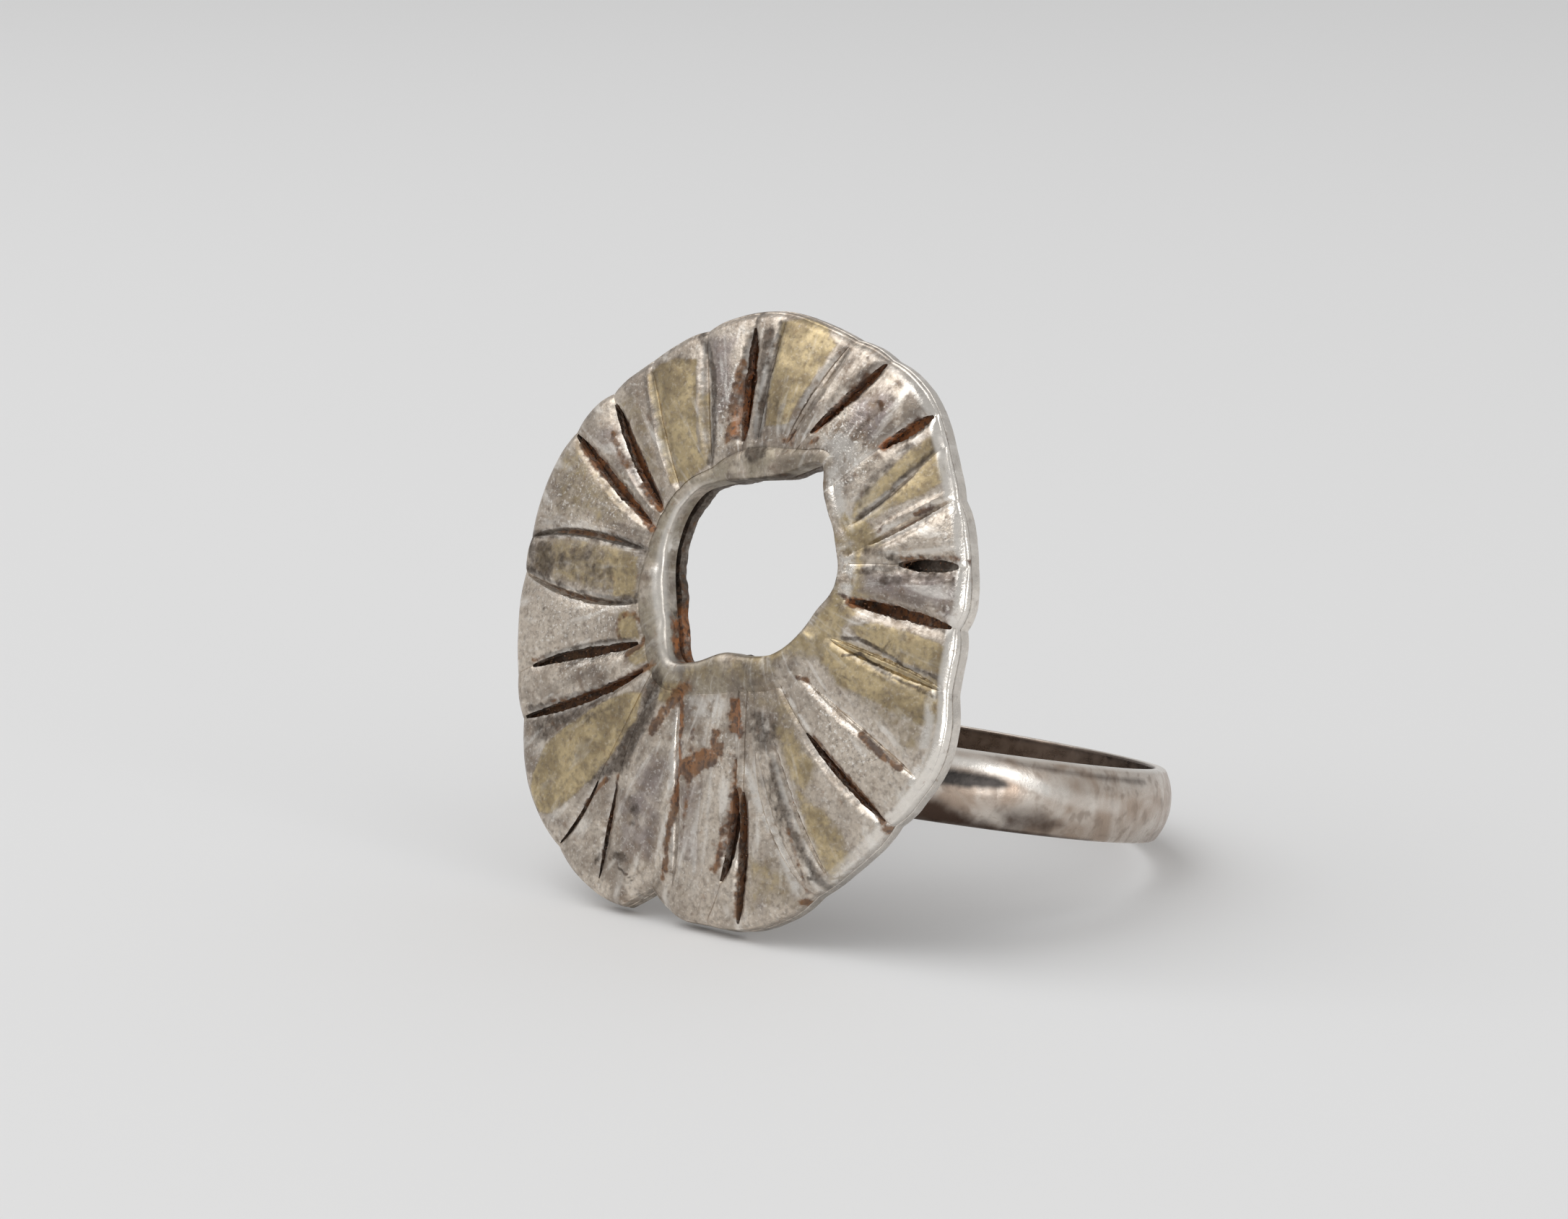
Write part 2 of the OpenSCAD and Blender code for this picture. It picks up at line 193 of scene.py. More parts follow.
def rim_r(a):
    """Radius of the rim with its nicks and its bite."""
    nicks = sum(notch(a, c[RIM_A], c[NICK], NICK_REACH, NICK_CURVE) for c in CUTS)
    past_bite = off(a, BITE_A) > 0
    return smooth_rim(a) - nicks - notch(a, BITE_A, BITE_DEPTH, np.where(
        past_bite, BITE_SLOPE, BITE_REACH), np.where(past_bite, BITE_CURVE, 1))


def mix(a, b, s):
    return a + (b - a) * s


def smooth_step(low, high, x):
    """From 0 to 1 between the two limits, or down again where the first is the higher."""
    s = np.clip((x - low) / (high - low), 0, 1)
    return s * s * (3 - 2 * s)


print("cuts:", len(CUTS), "of them slits:", sum(c[DEPTH] == SLIT for c in CUTS))

# %% [markdown]
# The front sheet is one closed skin. Its lines run from the hole to the rim and follow the cuts,
# so a slit's edge is always a line of the mesh and never a jagged row of squares. Grains and
# dents smaller than a tenth of a millimetre are left to the material.

# %% Lines of the front sheet
FACE_ROWS, ROLL_ROWS = 80, 10
STRIP_MM, LEAST_STRIPS = 0.108, 3                   # a petal's strips, measured at the rim
SLIT_STRIPS, LINE_STRIPS, DOUBLE_STRIPS = 2, 6, 12  # strips across each kind of cut
PETAL_RISE, FACE_POWER = 0.06, 2.2                  # a petal's swell and its turn to the rim
SLIT_FALL, LINE_FALL, FALL_W = 0.15, 0.03, 0.15     # the edge of a cut that the tool pressed down
BURR_AT, BURR_W = 0.15, 0.10                        # and the burr that it raised beside it
SLIT_SAG, SLIT_SHOWS = 0.015, 0.12                  # a slit's closed ends, and where it opens
DOUBLE_DEPTH, DOUBLE_AT, DOUBLE_W = 0.10, 0.2, 0.09     # the two grooves of a double line
face_f = 1 - (1 - np.linspace(0, 1, FACE_ROWS)) ** 1.25     # closer steps near the rim


def waves(x, y, z):
    """Smooth noise, from about -1 to 1, at each place."""
    x, y, z = np.broadcast_arrays(np.asarray(x, float), y, z)
    return np.reshape([noise.noise(Vector(p)) for p in zip(x.flat, y.flat, z.flat)], x.shape)


def cut_angle(cut):
    return mix(cut[LIP_A], cut[RIM_A], face_f) + cut[BOW] * 4 * face_f * (1 - face_f)


def cut_open(cut):
    """How open the cut is along its length: 0 outside its two ends and 1 in its middle."""
    s = np.clip((face_f - cut[START]) / (cut[END] - cut[START]), 0, 1)
    return (4 * s * (1 - s)) ** 0.55


def cut_half(cut, seed):
    """Half the width of the cut in mm at each step, a little uneven as a hand-cut slit is."""
    wobble = 0.3 * waves(9 * face_f, seed, 0) + 0.28 * waves(41 * face_f, seed, 5)
    return cut[WIDTH] / 2 * (0.07 + 0.93 * cut_open(cut) * (1 + wobble))


def line_radius(path):
    """Radius at each step of a line, from the foot of the lip to the roll at the rim."""
    inner = hole_r(path[0]) + lip_w(path[0])
    outer = rim_r(path[-1]) - SEAM_STEP - ROLL_W
    return mix(inner, outer, face_f)


def face_level(along, shoulder):
    """Height of a petal's face, from its foot at the lip to its shoulder at the rim."""
    return mix(FOOT_H, shoulder, along ** FACE_POWER)


def edge_relief(cut, burr, gap):
    """Height that a cut gives the petal beside it, at each step, where the gap is in mm."""
    fall = SLIT_FALL if cut[DEPTH] == SLIT else LINE_FALL
    opening = cut_open(cut)
    return (burr * (0.3 + 0.7 * opening) * np.exp(-((gap - BURR_AT) / BURR_W) ** 2)
            - fall * opening * np.exp(-(np.abs(gap) / FALL_W) ** 1.5))


lines = []      # angle at each step, relief at each step, kind of line, opening of its slit
for number, cut in enumerate(CUTS):
    next_number = (number + 1) % len(CUTS)
    following = CUTS[next_number]
    opening, middle = cut_open(cut), cut_angle(cut)
    radius = line_radius(middle)
    half_a = np.degrees(cut_half(cut, number) / radius)
    next_middle = cut_angle(following) + (0 if next_number else 360)
    next_half_a = np.degrees(cut_half(following, next_number) / line_radius(next_middle))
    is_slit, is_double = cut[DEPTH] == SLIT, cut[DEPTH] == DOUBLE
    across = SLIT_STRIPS if is_slit else DOUBLE_STRIPS if is_double else LINE_STRIPS
    for step in range(across):
        s = step / across
        relief = mix(edge_relief(cut, cut[BURR_BEFORE], 0),
                     edge_relief(cut, cut[BURR_AFTER], 0), s)
        if is_slit and step:
            relief = relief - SLIT_SAG * (1 - opening)
        elif is_double:
            dips = sum(math.exp(-((s - at) / DOUBLE_W) ** 2) for at in (DOUBLE_AT, 1 - DOUBLE_AT))
            relief = relief - DOUBLE_DEPTH * opening * dips
        elif not is_slit:
            relief = relief - cut[DEPTH] * opening * math.sin(math.pi * s) ** 1.3
        lines.append((middle + half_a * (2 * s - 1), relief, "slit" if is_slit else "cut",
                      opening > SLIT_SHOWS))
    before, after = middle + half_a, next_middle - next_half_a
    petal_mm = np.radians(after - before) * radius
    strips = max(LEAST_STRIPS, int(np.ceil(petal_mm[-1] / STRIP_MM)))
    for step in range(strips):
        s = step / strips
        relief = (PETAL_RISE * 4 * s * (1 - s) + edge_relief(cut, cut[BURR_AFTER], s * petal_mm)
                  + edge_relief(following, following[BURR_BEFORE], (1 - s) * petal_mm))
        lines.append((mix(before, after, s), relief, "petal" if step else "edge", None))
print("lines round the head:", len(lines))

# %% [markdown]
# A section of the sheet goes up the turned-in lip, over its crest, out along the petals and down
# the roll at the rim. Small unevenness is added as a smooth noise, because a sheet that was
# chased by hand is never quite flat. `lip_t`, `face_f` and `roll_t` are the steps of its parts.

# %% Section of the front sheet
lip_t = np.array([0, 0.12, 0.24, 0.32, 0.39, 0.46, 0.53, 0.60, 0.68, 0.77, 0.86, 0.93, 0.98])
LIP_ROWS = len(lip_t)
roll_t = np.linspace(0, 1, ROLL_ROWS + 1)[1:]
LIP_SHAPE = [  # place along it, share of its width, height: 0 at its end, 1 its crest, 2 its foot
    (0.0, 0.00, 0.00), (0.25, 0.00, 0.62), (0.4, 0.035, 0.84), (0.55, 0.16, 0.97),
    (0.7, 0.40, 1.00), (0.86, 0.78, 1.25), (0.94, 0.94, 1.7), (1.0, 1.00, 2.00)]
LIP_CREASE, LIP_CREASE_FROM, FOOT_DIP = 0.012, 0.86, 0.02       # a fine groove at its foot
LIP_DENT, LIP_DENT_AT, LIP_DENT_REACH = 0.16, 0.62, 0.35        # soft dents beyond its crest
LEFT_FROM, LEFT_TO = 40, 75     # degrees from the right, where the lip becomes plump and dull
SEAM_H, INSIDE_T, INSIDE_ROLL = BACK_T + 0.03, FRONT_T - 0.04, 0.06     # the sheet's inner side
UNEVEN_SINK = 0.012


def section(line):
    """Outer points and inner points of one line: angle, radius, height."""
    path, relief = line[0], line[1]
    hole, lip = float(hole_r(path[0])), float(lip_w(path[0]))
    crest = FOOT_H + LIP_RISE * min(1, lip / FULL_LIP_W)
    rim = float(rim_r(path[-1])) - SEAM_STEP
    at, share, level = np.array(LIP_SHAPE).T
    foot = FOOT_H + relief[0]
    lip_share = np.interp(lip_t, at, share)
    lip_level = np.interp(lip_t, at, level)
    lip_h = np.where(lip_level < 1, mix(LIP_END_H, crest, lip_level),
                     mix(crest, foot - FOOT_DIP, lip_level - 1))
    crease = LIP_CREASE * smooth_step(LEFT_FROM, LEFT_TO, abs(off(path[0], 0)))
    lip_h = lip_h - crease * np.clip((lip_t - LIP_CREASE_FROM) / 0.12, 0, 1)
    lip_r = hole + lip_share * lip
    turn_in = math.pi / 2 * np.clip(lip_level, 0, 1)
    shoulder = float(shoulder_h(path[-1]))
    bend = np.clip(1 - (1 - face_f) * (rim - ROLL_W - hole - lip) / BEND_W, 0, 1)
    face_h = face_level(face_f, shoulder) - BEND_H * bend ** 2 + relief
    roll = math.pi / 2 * roll_t
    roll_r = rim - ROLL_W * (1 - np.sin(roll))
    low = shoulder - BEND_H
    roll_h = SEAM_H + (low + relief[-1] * np.cos(roll) - SEAM_H) * np.cos(roll) ** 0.9
    angles = np.concatenate([np.full(LIP_ROWS, path[0]), path, np.full(ROLL_ROWS, path[-1])])
    radii = np.concatenate([lip_r, mix(hole + lip, rim - ROLL_W, face_f), roll_r])
    heights = np.concatenate([lip_h, face_h, roll_h])
    in_r = np.concatenate([INSIDE_T * np.cos(turn_in), 0 * face_f, -INSIDE_ROLL * np.sin(roll)])
    in_h = heights - INSIDE_T * np.concatenate([np.sin(turn_in), np.ones(FACE_ROWS),
                                                np.cos(roll)])
    return (np.stack([angles, radii, heights]),
            np.stack([angles, radii + in_r, np.maximum(in_h, SEAM_H)]))


sections = [section(line) for line in lines]
outer = np.stack([s[0] for s in sections])      # lines, (angle, radius, height), steps
inner = np.stack([s[1] for s in sections])
lines_n, steps_n = outer.shape[0], outer.shape[2]


def to_head(points):
    """Points as angle, radius and height to u, v and w."""
    a, r, h = np.radians(points[:, 0]), points[:, 1], points[:, 2]
    return np.stack([r * np.cos(a), r * np.sin(a), h], -1)


outer_uvw, inner_uvw = to_head(outer), to_head(inner)
u, v = outer_uvw[:, :, 0], outer_uvw[:, :, 1]
uneven = 0.022 * waves(u * 0.8, v * 0.8, 3) + 0.010 * waves(u * 2.6, v * 2.6, 7)
weight = np.concatenate([0.8 * np.clip(lip_t * 2 - 0.6, 0, 1), np.ones(FACE_ROWS), 1 - roll_t])
outer_uvw[:, :, 2] += (uneven - UNEVEN_SINK) * weight
dents = np.maximum(0, waves(1.1 * u[:, :LIP_ROWS], 1.1 * v[:, :LIP_ROWS], 23))
outer_uvw[:, :LIP_ROWS, 2] -= LIP_DENT * dents * np.clip(
    1 - np.abs(lip_t - LIP_DENT_AT) / LIP_DENT_REACH, 0, 1)
print("section steps:", steps_n, "highest point, mm:", round(float(outer_uvw[:, :, 2].max()), 3))

# %% [markdown]
# The skin is closed: the outside is joined to the inside at the lip's end, at the seam and along
# both walls of each slit. The inside needs fewer lines, because it is seen only through the slits.

# %% Mesh of the front sheet
INSIDE_EVERY = 4
kinds = [line[2] for line in lines]
inner_lines = [k for k, kind in enumerate(kinds) if (kind != "petal" or k % INSIDE_EVERY == 0)
               and (kind != "cut" or kinds[k - 1] != "cut")]
inner_number = {k: n for n, k in enumerate(inner_lines)}
outside_n = lines_n * steps_n


def outer_at(line, step):
    return (line % lines_n) * steps_n + step


def inner_at(line, step):
    return outside_n + inner_number[line % lines_n] * steps_n + step


def open_cell(line, step):
    """Whether the cell after this line and step is the open part of a slit."""
    f, line = step - LIP_ROWS, line % lines_n
    return (kinds[line] == "slit" and 0 <= f < FACE_ROWS - 1
            and bool(lines[line][3][f:f + 2].all()))


def wall(one, other):
    """A face from the outside down to the inside, under the side between two points."""
    return outer_at(*one), outer_at(*other), inner_at(*other), inner_at(*one)


faces = []
for k in range(lines_n):
    for j in range(steps_n - 1):
        if not open_cell(k, j):
            faces.append((outer_at(k, j), outer_at(k, j + 1), outer_at(k + 1, j + 1),
                          outer_at(k + 1, j)))
for n, k in enumerate(inner_lines):
    after = inner_lines[(n + 1) % len(inner_lines)]
    run = list(range(k, (after if after > k else after + lines_n) + 1))
    for j in range(steps_n - 1):
        if not open_cell(k, j):
            faces.append((inner_at(k, j), inner_at(after, j), inner_at(after, j + 1),
                          inner_at(k, j + 1)))
    for j in (0, steps_n - 1):
        faces.append(tuple(outer_at(m, j) for m in run) + (inner_at(after, j), inner_at(k, j)))
for k in (k for k, kind in enumerate(kinds) if kind == "slit"):
    for j in range(steps_n - 1):
        here = open_cell(k, j)
        if here and not open_cell(k - 1, j):
            faces.append(wall((k, j), (k, j + 1)))
        if here and not open_cell(k + 1, j):
            faces.append(wall((k + 1, j), (k + 1, j + 1)))
        if here != open_cell(k, j + 1):
            faces.append(wall((k, j + 1), (k + 1, j + 1)))


def put(name, data):
    """A new object in the scene that holds this data."""
    item = bpy.data.objects.new(name, data)
    bpy.context.scene.collection.objects.link(item)
    return item


def triangles(mesh):
    return sum(len(p.vertices) - 2 for p in mesh.polygons)


def smooth_shade(mesh, sharp_deg):
    mesh.shade_smooth()
    mesh.set_sharp_from_angle(angle=math.radians(sharp_deg))


def make_piece(name, points, faces):
    """A closed mesh object at the origin, with its faces outward and its sharp edges marked."""
    mesh = bpy.data.meshes.new(name)
    mesh.from_pydata([tuple(p) for p in points], [], faces)
    shape = bmesh.new()
    shape.from_mesh(mesh)
    bmesh.ops.delete(shape, geom=[v for v in shape.verts if not v.link_faces], context="VERTS")
    bmesh.ops.recalc_face_normals(shape, faces=shape.faces)
    loose = sum(not e.is_manifold for e in shape.edges)
    shape.to_mesh(mesh)
    shape.free()
    smooth_shade(mesh, 40)
    print(name, "triangles:", triangles(mesh), "open edges:", loose)
    return put(name, mesh)


sheet_uvw = np.concatenate([outer_uvw.reshape(-1, 3), inner_uvw[inner_lines].reshape(-1, 3)])
front_sheet = make_piece("front_sheet", place(*sheet_uvw.T), faces)

# %% [markdown]
# Old silver keeps its history on its face. The maker gilded some petals, and wear, soot, rust
# from an old rinse and plum-coloured tarnish came later. Each such mark has a place, so it is
# charted here in millimetres on the head, and its ragged edge is left to the material.
# A row is an area: its name, how strong it is, how soft its edge is in mm, and its corners.

# %% Places of the gilding
GILD_AREAS = [
    ("panel right of the top", 0.95, 0.12, [(-0.66, 8.17), (0.21, 8.43), (1.03, 8.26),
        (1.81, 7.64), (1.50, 6.93), (0.92, 5.64), (0.61, 4.81), (-0.28, 4.66), (-0.48, 5.86),
        (-0.62, 7.22)]),
    ("panel at the upper right, below its line", 0.95, 0.12, [(6.49, 4.77), (6.83, 4.50),
        (6.96, 3.79), (6.47, 3.23), (5.68, 2.81), (4.92, 2.26), (4.21, 1.97), (5.34, 3.17),
        (6.03, 4.03)]),
    ("panel at the upper right, above its line", 0.95, 0.14, [(5.57, 4.59), (6.29, 5.23),
        (6.56, 5.05), (6.41, 4.64), (5.49, 3.62), (4.87, 2.87), (3.85, 1.98), (4.00, 2.71),
        (5.04, 3.89)]),
    ("panel at the right, above its lines", 0.85, 0.12, [(4.33, -1.38), (5.52, -1.12),
        (6.49, -1.21), (7.68, -1.41), (8.06, -1.51), (8.18, -2.54), (7.34, -2.38), (6.40, -2.24),
        (5.22, -1.82)]),
    ("panel at the right, between and below its lines", 0.95, 0.2, [(4.05, -1.75), (6.40, -2.24),
        (8.10, -2.60), (8.25, -3.94), (7.80, -4.20), (6.99, -4.05), (5.99, -3.74), (5.25, -3.52),
        (4.35, -3.37), (3.90, -2.85), (3.90, -2.25)]),
    ("lower part of that panel", 0.45, 0.3, [(4.87, -3.01), (6.98, -3.96), (8.18, -4.19),
        (8.02, -4.80), (7.16, -5.18), (6.38, -4.48), (5.30, -3.82)]),
    ("low panel at the lower right", 0.85, 0.3, [(3.17, -6.89), (4.36, -7.41), (5.35, -8.14),
        (5.61, -8.85), (4.92, -9.63), (4.49, -9.17), (3.80, -8.22)]),
    ("haze above it", 0.9, 0.35, [(1.94, -4.93), (2.87, -5.03), (3.93, -6.05), (3.78, -7.03),
        (3.08, -6.67), (2.46, -5.81)]),
    ("haze on the left petal", 0.5, 0.5, [(-9.37, 2.45), (-8.68, 3.28), (-6.56, 2.24),
        (-5.23, 0.90), (-6.86, 0.59), (-9.13, 0.96)]),
    ("haze at the upper left", 0.5, 0.5, [(-7.25, 4.56), (-6.24, 5.29), (-4.97, 3.41),
        (-4.11, 1.78), (-5.12, 2.65)]),
    ("haze right of the hole", 0.85, 0.35, [(3.19, 1.46), (4.61, 1.41), (4.70, 0.23),
        (4.97, -0.44), (4.19, -1.73), (3.69, -1.33), (4.27, 0.18)]),
    ("haze on the lip at the lower right", 1, 0.3, [(3.76, -0.18), (4.08, -0.68), (4.19, -1.55),
        (4.31, -2.19), (4.31, -3.14), (3.47, -2.67), (2.69, -2.56), (1.87, -2.84), (0.84, -3.09),
        (0.51, -2.94), (1.34, -2.46), (2.44, -1.99), (3.08, -1.47), (3.47, -0.85)]),
    ("haze on the lip at the foot", 0.45, 0.3, [(-2.30, -3.44), (0.80, -2.85), (1.84, -2.68),
        (2.05, -3.36), (1.04, -3.73), (-1.98, -4.27)]),
    ("right end of the left panel", 1, 0.2, [(-6.15, -0.30), (-4.85, -0.28), (-4.63, -1.69),
        (-5.67, -1.78)]),
    ("haze at the foot", 0.5, 0.4, [(1.44, -9.34), (3.24, -9.51), (3.64, -10.63), (1.96, -11.17)]),
    ("haze under the lip", 0.55, 0.35, [(0.71, -4.11), (2.18, -3.82), (3.12, -4.75), (2.47, -5.33),
        (2.02, -4.56), (0.93, -4.48)]),
    ("panel at the lower left", 1, 0.12, [(-5.55, -5.38), (-4.23, -4.84), (-3.66, -4.75),
        (-3.83, -5.74), (-4.29, -6.42), (-4.65, -7.02), (-5.50, -7.97), (-6.24, -8.71),
        (-7.19, -9.48), (-8.03, -9.54), (-8.40, -8.80), (-8.20, -7.97), (-7.86, -7.16),
        (-7.08, -6.45), (-6.36, -5.99)]),
    ("panel at the left", 0.62, 0.2, [(-9.86, -0.39), (-8.13, -0.04), (-6.04, 0.01),
        (-5.00, -0.23), (-4.72, -1.58), (-6.36, -1.67), (-8.14, -1.59), (-9.71, -1.33)]),
    ("panel at the upper left", 1, 0.12, [(-6.00, 5.81), (-5.37, 4.82), (-4.70, 3.64),
        (-3.90, 2.30), (-3.26, 2.40), (-2.49, 3.07), (-2.93, 3.51), (-3.52, 5.30), (-3.86, 6.56),
        (-4.74, 6.53), (-5.61, 6.20)]),
    ("sandy strip beside it", 0.7, 0.15, [(-3.42, 5.43), (-3.01, 5.60), (-2.51, 4.17),
        (-2.37, 3.09), (-2.72, 2.80)]),
    ("lip side at the right", 0.95, 0.25, [(3.33, 2.24), (4.01, 2.23), (4.96, 1.81), (5.23, 1.44),
        (4.66, 1.18), (4.05, 1.29), (3.57, 1.63)]),
    ("lip side at the lower left", 1, 0.15, [(-3.02, -4.34), (-2.20, -4.23), (-2.00, -4.44),
        (-2.58, -5.01), (-3.02, -4.90)]),
    ("patch at the left of the lip", 1, 0.12, [(-5.31, -2.40), (-5.11, -2.22), (-4.53, -2.22),
        (-4.24, -3.01), (-5.19, -3.17)]),
    ("inner end under that patch", 1, 0.14, [(-4.82, -3.34), (-4.04, -3.21), (-3.68, -3.72),
        (-4.27, -3.98), (-4.66, -3.66)]),
]
print("gilded places:", len(GILD_AREAS))

# %% [markdown]
# Rust, soot, plum-coloured tarnish, rubbed bright silver and the sandy silver between them are
# areas too. Some of them are painted light and shade: a painted shadow under the lip, painted
# shade on the lip's turn and on a petal at the upper right, and painted highlights beside the
# hole.

# %% Places of the tarnish, and of painted shade and highlights
RUST_AREAS = [
    ("big smear", 1, 0.08, [(-1.66, -6.75), (-1.06, -6.36), (-0.50, -6.13), (-0.56, -5.51),
        (-0.27, -5.51), (0.13, -6.18), (-0.04, -6.59), (-0.73, -6.99), (-1.11, -7.37),
        (-1.57, -7.27)]),
    ("bank of the top slit", 0.8, 0.16, [(-1.94, 6.20), (-1.73, 6.34), (-1.43, 6.00),
        (-1.34, 5.03), (-1.16, 4.13), (-1.81, 3.91), (-1.87, 4.49), (-1.95, 5.46)]),
    ("drop under the lip", 1, 0.08, [(0.05, -4.44), (0.45, -4.26), (0.64, -4.94), (0.87, -5.48),
        (0.70, -5.72), (0.25, -5.48), (0.06, -4.98)]),
]
SOOT_AND_SHADE_AREAS = [
    # A painted shadow under the lip, over a brown stain.
    ("cloud under the lip", 0.72, 0.45, [(0.97, -4.72), (1.53, -4.39), (2.22, -5.13),
        (2.08, -6.06), (1.55, -6.15), (1.11, -5.42)]),
    ("speckled strip by the pale ridge", 0.42, 0.25, [(1.73, -6.84), (2.40, -6.49), (3.37, -7.81),
        (4.25, -9.09), (3.86, -9.45), (2.86, -8.38)]),
    ("corner of the lower left panel", 1, 0.3, [(-3.35, -4.39), (-2.99, -4.10), (-3.06, -5.33),
        (-3.42, -5.99), (-3.78, -6.67), (-3.99, -7.36), (-4.83, -7.94), (-5.65, -8.07),
        (-5.08, -7.43), (-4.28, -6.82), (-3.81, -5.81)]),
    ("grey of that panel's start", 0.5, 0.3, [(-6.16, -5.79), (-4.98, -5.19), (-4.64, -5.56),
        (-5.65, -6.09), (-6.29, -6.38)]),
    ("left end of the left panel", 0.8, 0.2, [(-10.32, -0.42), (-9.01, -0.24), (-8.60, -0.87),
        (-8.71, -1.51), (-9.92, -1.28)]),
    ("top of the upper left panel", 0.35, 0.2, [(-6.17, 6.00), (-5.46, 6.69), (-4.17, 6.86),
        (-3.93, 6.38), (-4.94, 6.11), (-5.71, 5.79)]),
    ("lower left of the top panel", 0.4, 0.3, [(-0.48, 5.74), (0.21, 5.81), (0.66, 4.89),
        (-0.21, 4.62)]),
    ("over the small petal", 0.55, 0.15, [(-9.48, 0.08), (-8.77, 0.29), (-8.01, 0.20),
        (-8.31, -0.08), (-9.22, -0.19)]),
    ("outer half of the left panel", 0.55, 0.35, [(-9.72, -0.50), (-7.74, -0.19), (-5.60, -0.50),
        (-5.88, -1.53), (-7.43, -1.56), (-9.35, -1.21)]),
    ("grey beside the lower left slit", 0.8, 0.3, [(-8.93, -6.32), (-6.62, -5.53), (-5.06, -4.81),
        (-5.13, -5.31), (-6.83, -6.26), (-8.27, -7.35)]),
    ("leaf beside the third slit", 0.5, 0.25, [(6.13, 0.76), (8.27, 1.15), (8.42, 0.44),
        (7.26, 0.31), (6.07, 0.42)]),
    ("lip at the foot, left", 0.12, 0.3, [(-2.39, -3.45), (0.81, -2.90), (1.06, -3.58),
        (-1.97, -4.20)]),
    ("lip at the foot, middle", 0.32, 0.3, [(0.41, -3.25), (2.52, -2.84), (2.77, -3.13),
        (0.89, -3.75)]),
    # Painted shade that dims a highlight on the turn of the lip.
    ("turn of the lip", 0.38, 0.2, [(-3.50, -3.12), (-2.78, -3.17), (-1.85, -3.38), (-1.75, -3.90),
        (-2.94, -3.97)]),
    ("outer half of the bluish leaf", 0.3, 0.3, [(4.61, 0.70), (5.01, 1.58), (5.68, 1.67),
        (5.42, 0.92)]),
]
PLUM_AND_SHADE_AREAS = [
    ("third leaf at the right", 0.6, 0.3, [(4.80, 0.48), (8.30, 1.01), (8.31, -0.77),
        (6.35, -0.43), (4.64, -0.20)]),
    ("petal at the foot, left", 0.45, 0.4, [(-4.48, -8.01), (-2.75, -7.61), (-2.71, -10.29),
        (-3.82, -10.24)]),
    ("cloud low on the left", 0.8, 0.35, [(-3.71, -8.25), (-3.00, -8.01), (-2.46, -8.42),
        (-2.69, -9.06), (-3.50, -9.00)]),
    ("spot under the lip", 0.6, 0.2, [(-2.01, -4.85), (-1.60, -4.69), (-1.39, -5.07),
        (-1.73, -5.30)]),
    ("cloud by the groove", 0.6, 0.3, [(-3.13, -6.69), (-2.26, -6.74), (-2.17, -7.27),
        (-2.80, -7.32)]),
    ("pale cloud", 0.5, 0.3, [(-1.53, -9.48), (-0.74, -9.35), (-0.58, -10.05), (-1.25, -10.29)]),
    ("cloud at the foot", 0.5, 0.3, [(1.90, -10.58), (2.48, -10.48), (2.61, -11.10),
        (2.02, -11.16)]),
    ("petal left of the top", 0.8, 0.5, [(-3.49, 7.30), (-2.23, 7.54), (-1.83, 5.23),
        (-2.34, 4.68), (-2.96, 6.10)]),
    ("petal at the upper left", 0.6, 0.5, [(-8.21, 3.58), (-7.11, 4.19), (-5.67, 2.84),
        (-4.75, 1.70), (-5.89, 2.32), (-7.09, 2.93)]),
    # Plum tarnish, painted darker here as shade against the sheen of a light.
    ("warm petal at the upper right", 0.75, 0.4, [(3.06, 5.76), (3.89, 6.59), (4.88, 5.99),
        (4.18, 4.69), (3.04, 4.79)]),
    ("long petal at the foot", 0.55, 0.4, [(-1.64, -7.67), (-0.57, -7.38), (-0.47, -10.15),
        (-1.41, -10.31)]),
    ("long petal left of the groove", 0.6, 0.4, [(-3.62, -7.25), (-2.25, -6.79), (-2.39, -10.48),
        (-3.50, -10.18)]),
]
# Rubbed bright silver, and painted highlights beside the hole where the lip catches the lights.
RUBBED_AND_HIGHLIGHT_AREAS = [
    ("beside the hole, upper right", 1, 0.16, [(2.59, 3.41), (2.95, 3.82), (3.53, 2.70),
        (4.03, 1.69), (3.33, 2.07), (2.94, 2.62)]),
    ("beside the hole, right", 1, 0.16, [(3.66, 1.04), (4.05, 1.29), (4.50, 0.21), (4.19, -0.66),
        (3.89, 0.12)]),
    ("right of the top of the hole", 0.8, 0.3, [(2.19, 4.57), (2.84, 5.01), (3.64, 4.62),
        (3.62, 3.42), (2.95, 3.82)]),
    ("lip at the lower right", 0.12, 0.25, [(1.84, -2.68), (3.02, -1.91), (3.79, -1.08),
        (4.19, -1.73), (3.08, -2.97), (2.05, -3.36)]),
    ("small petal by the second slit", 0.5, 0.12, [(5.44, 5.82), (5.87, 6.14), (6.01, 5.95),
        (5.69, 5.37)]),
    ("under the lip", 0.6, 0.12, [(-1.70, -4.63), (-0.19, -4.34), (0.01, -4.86), (-1.43, -5.20)]),
]
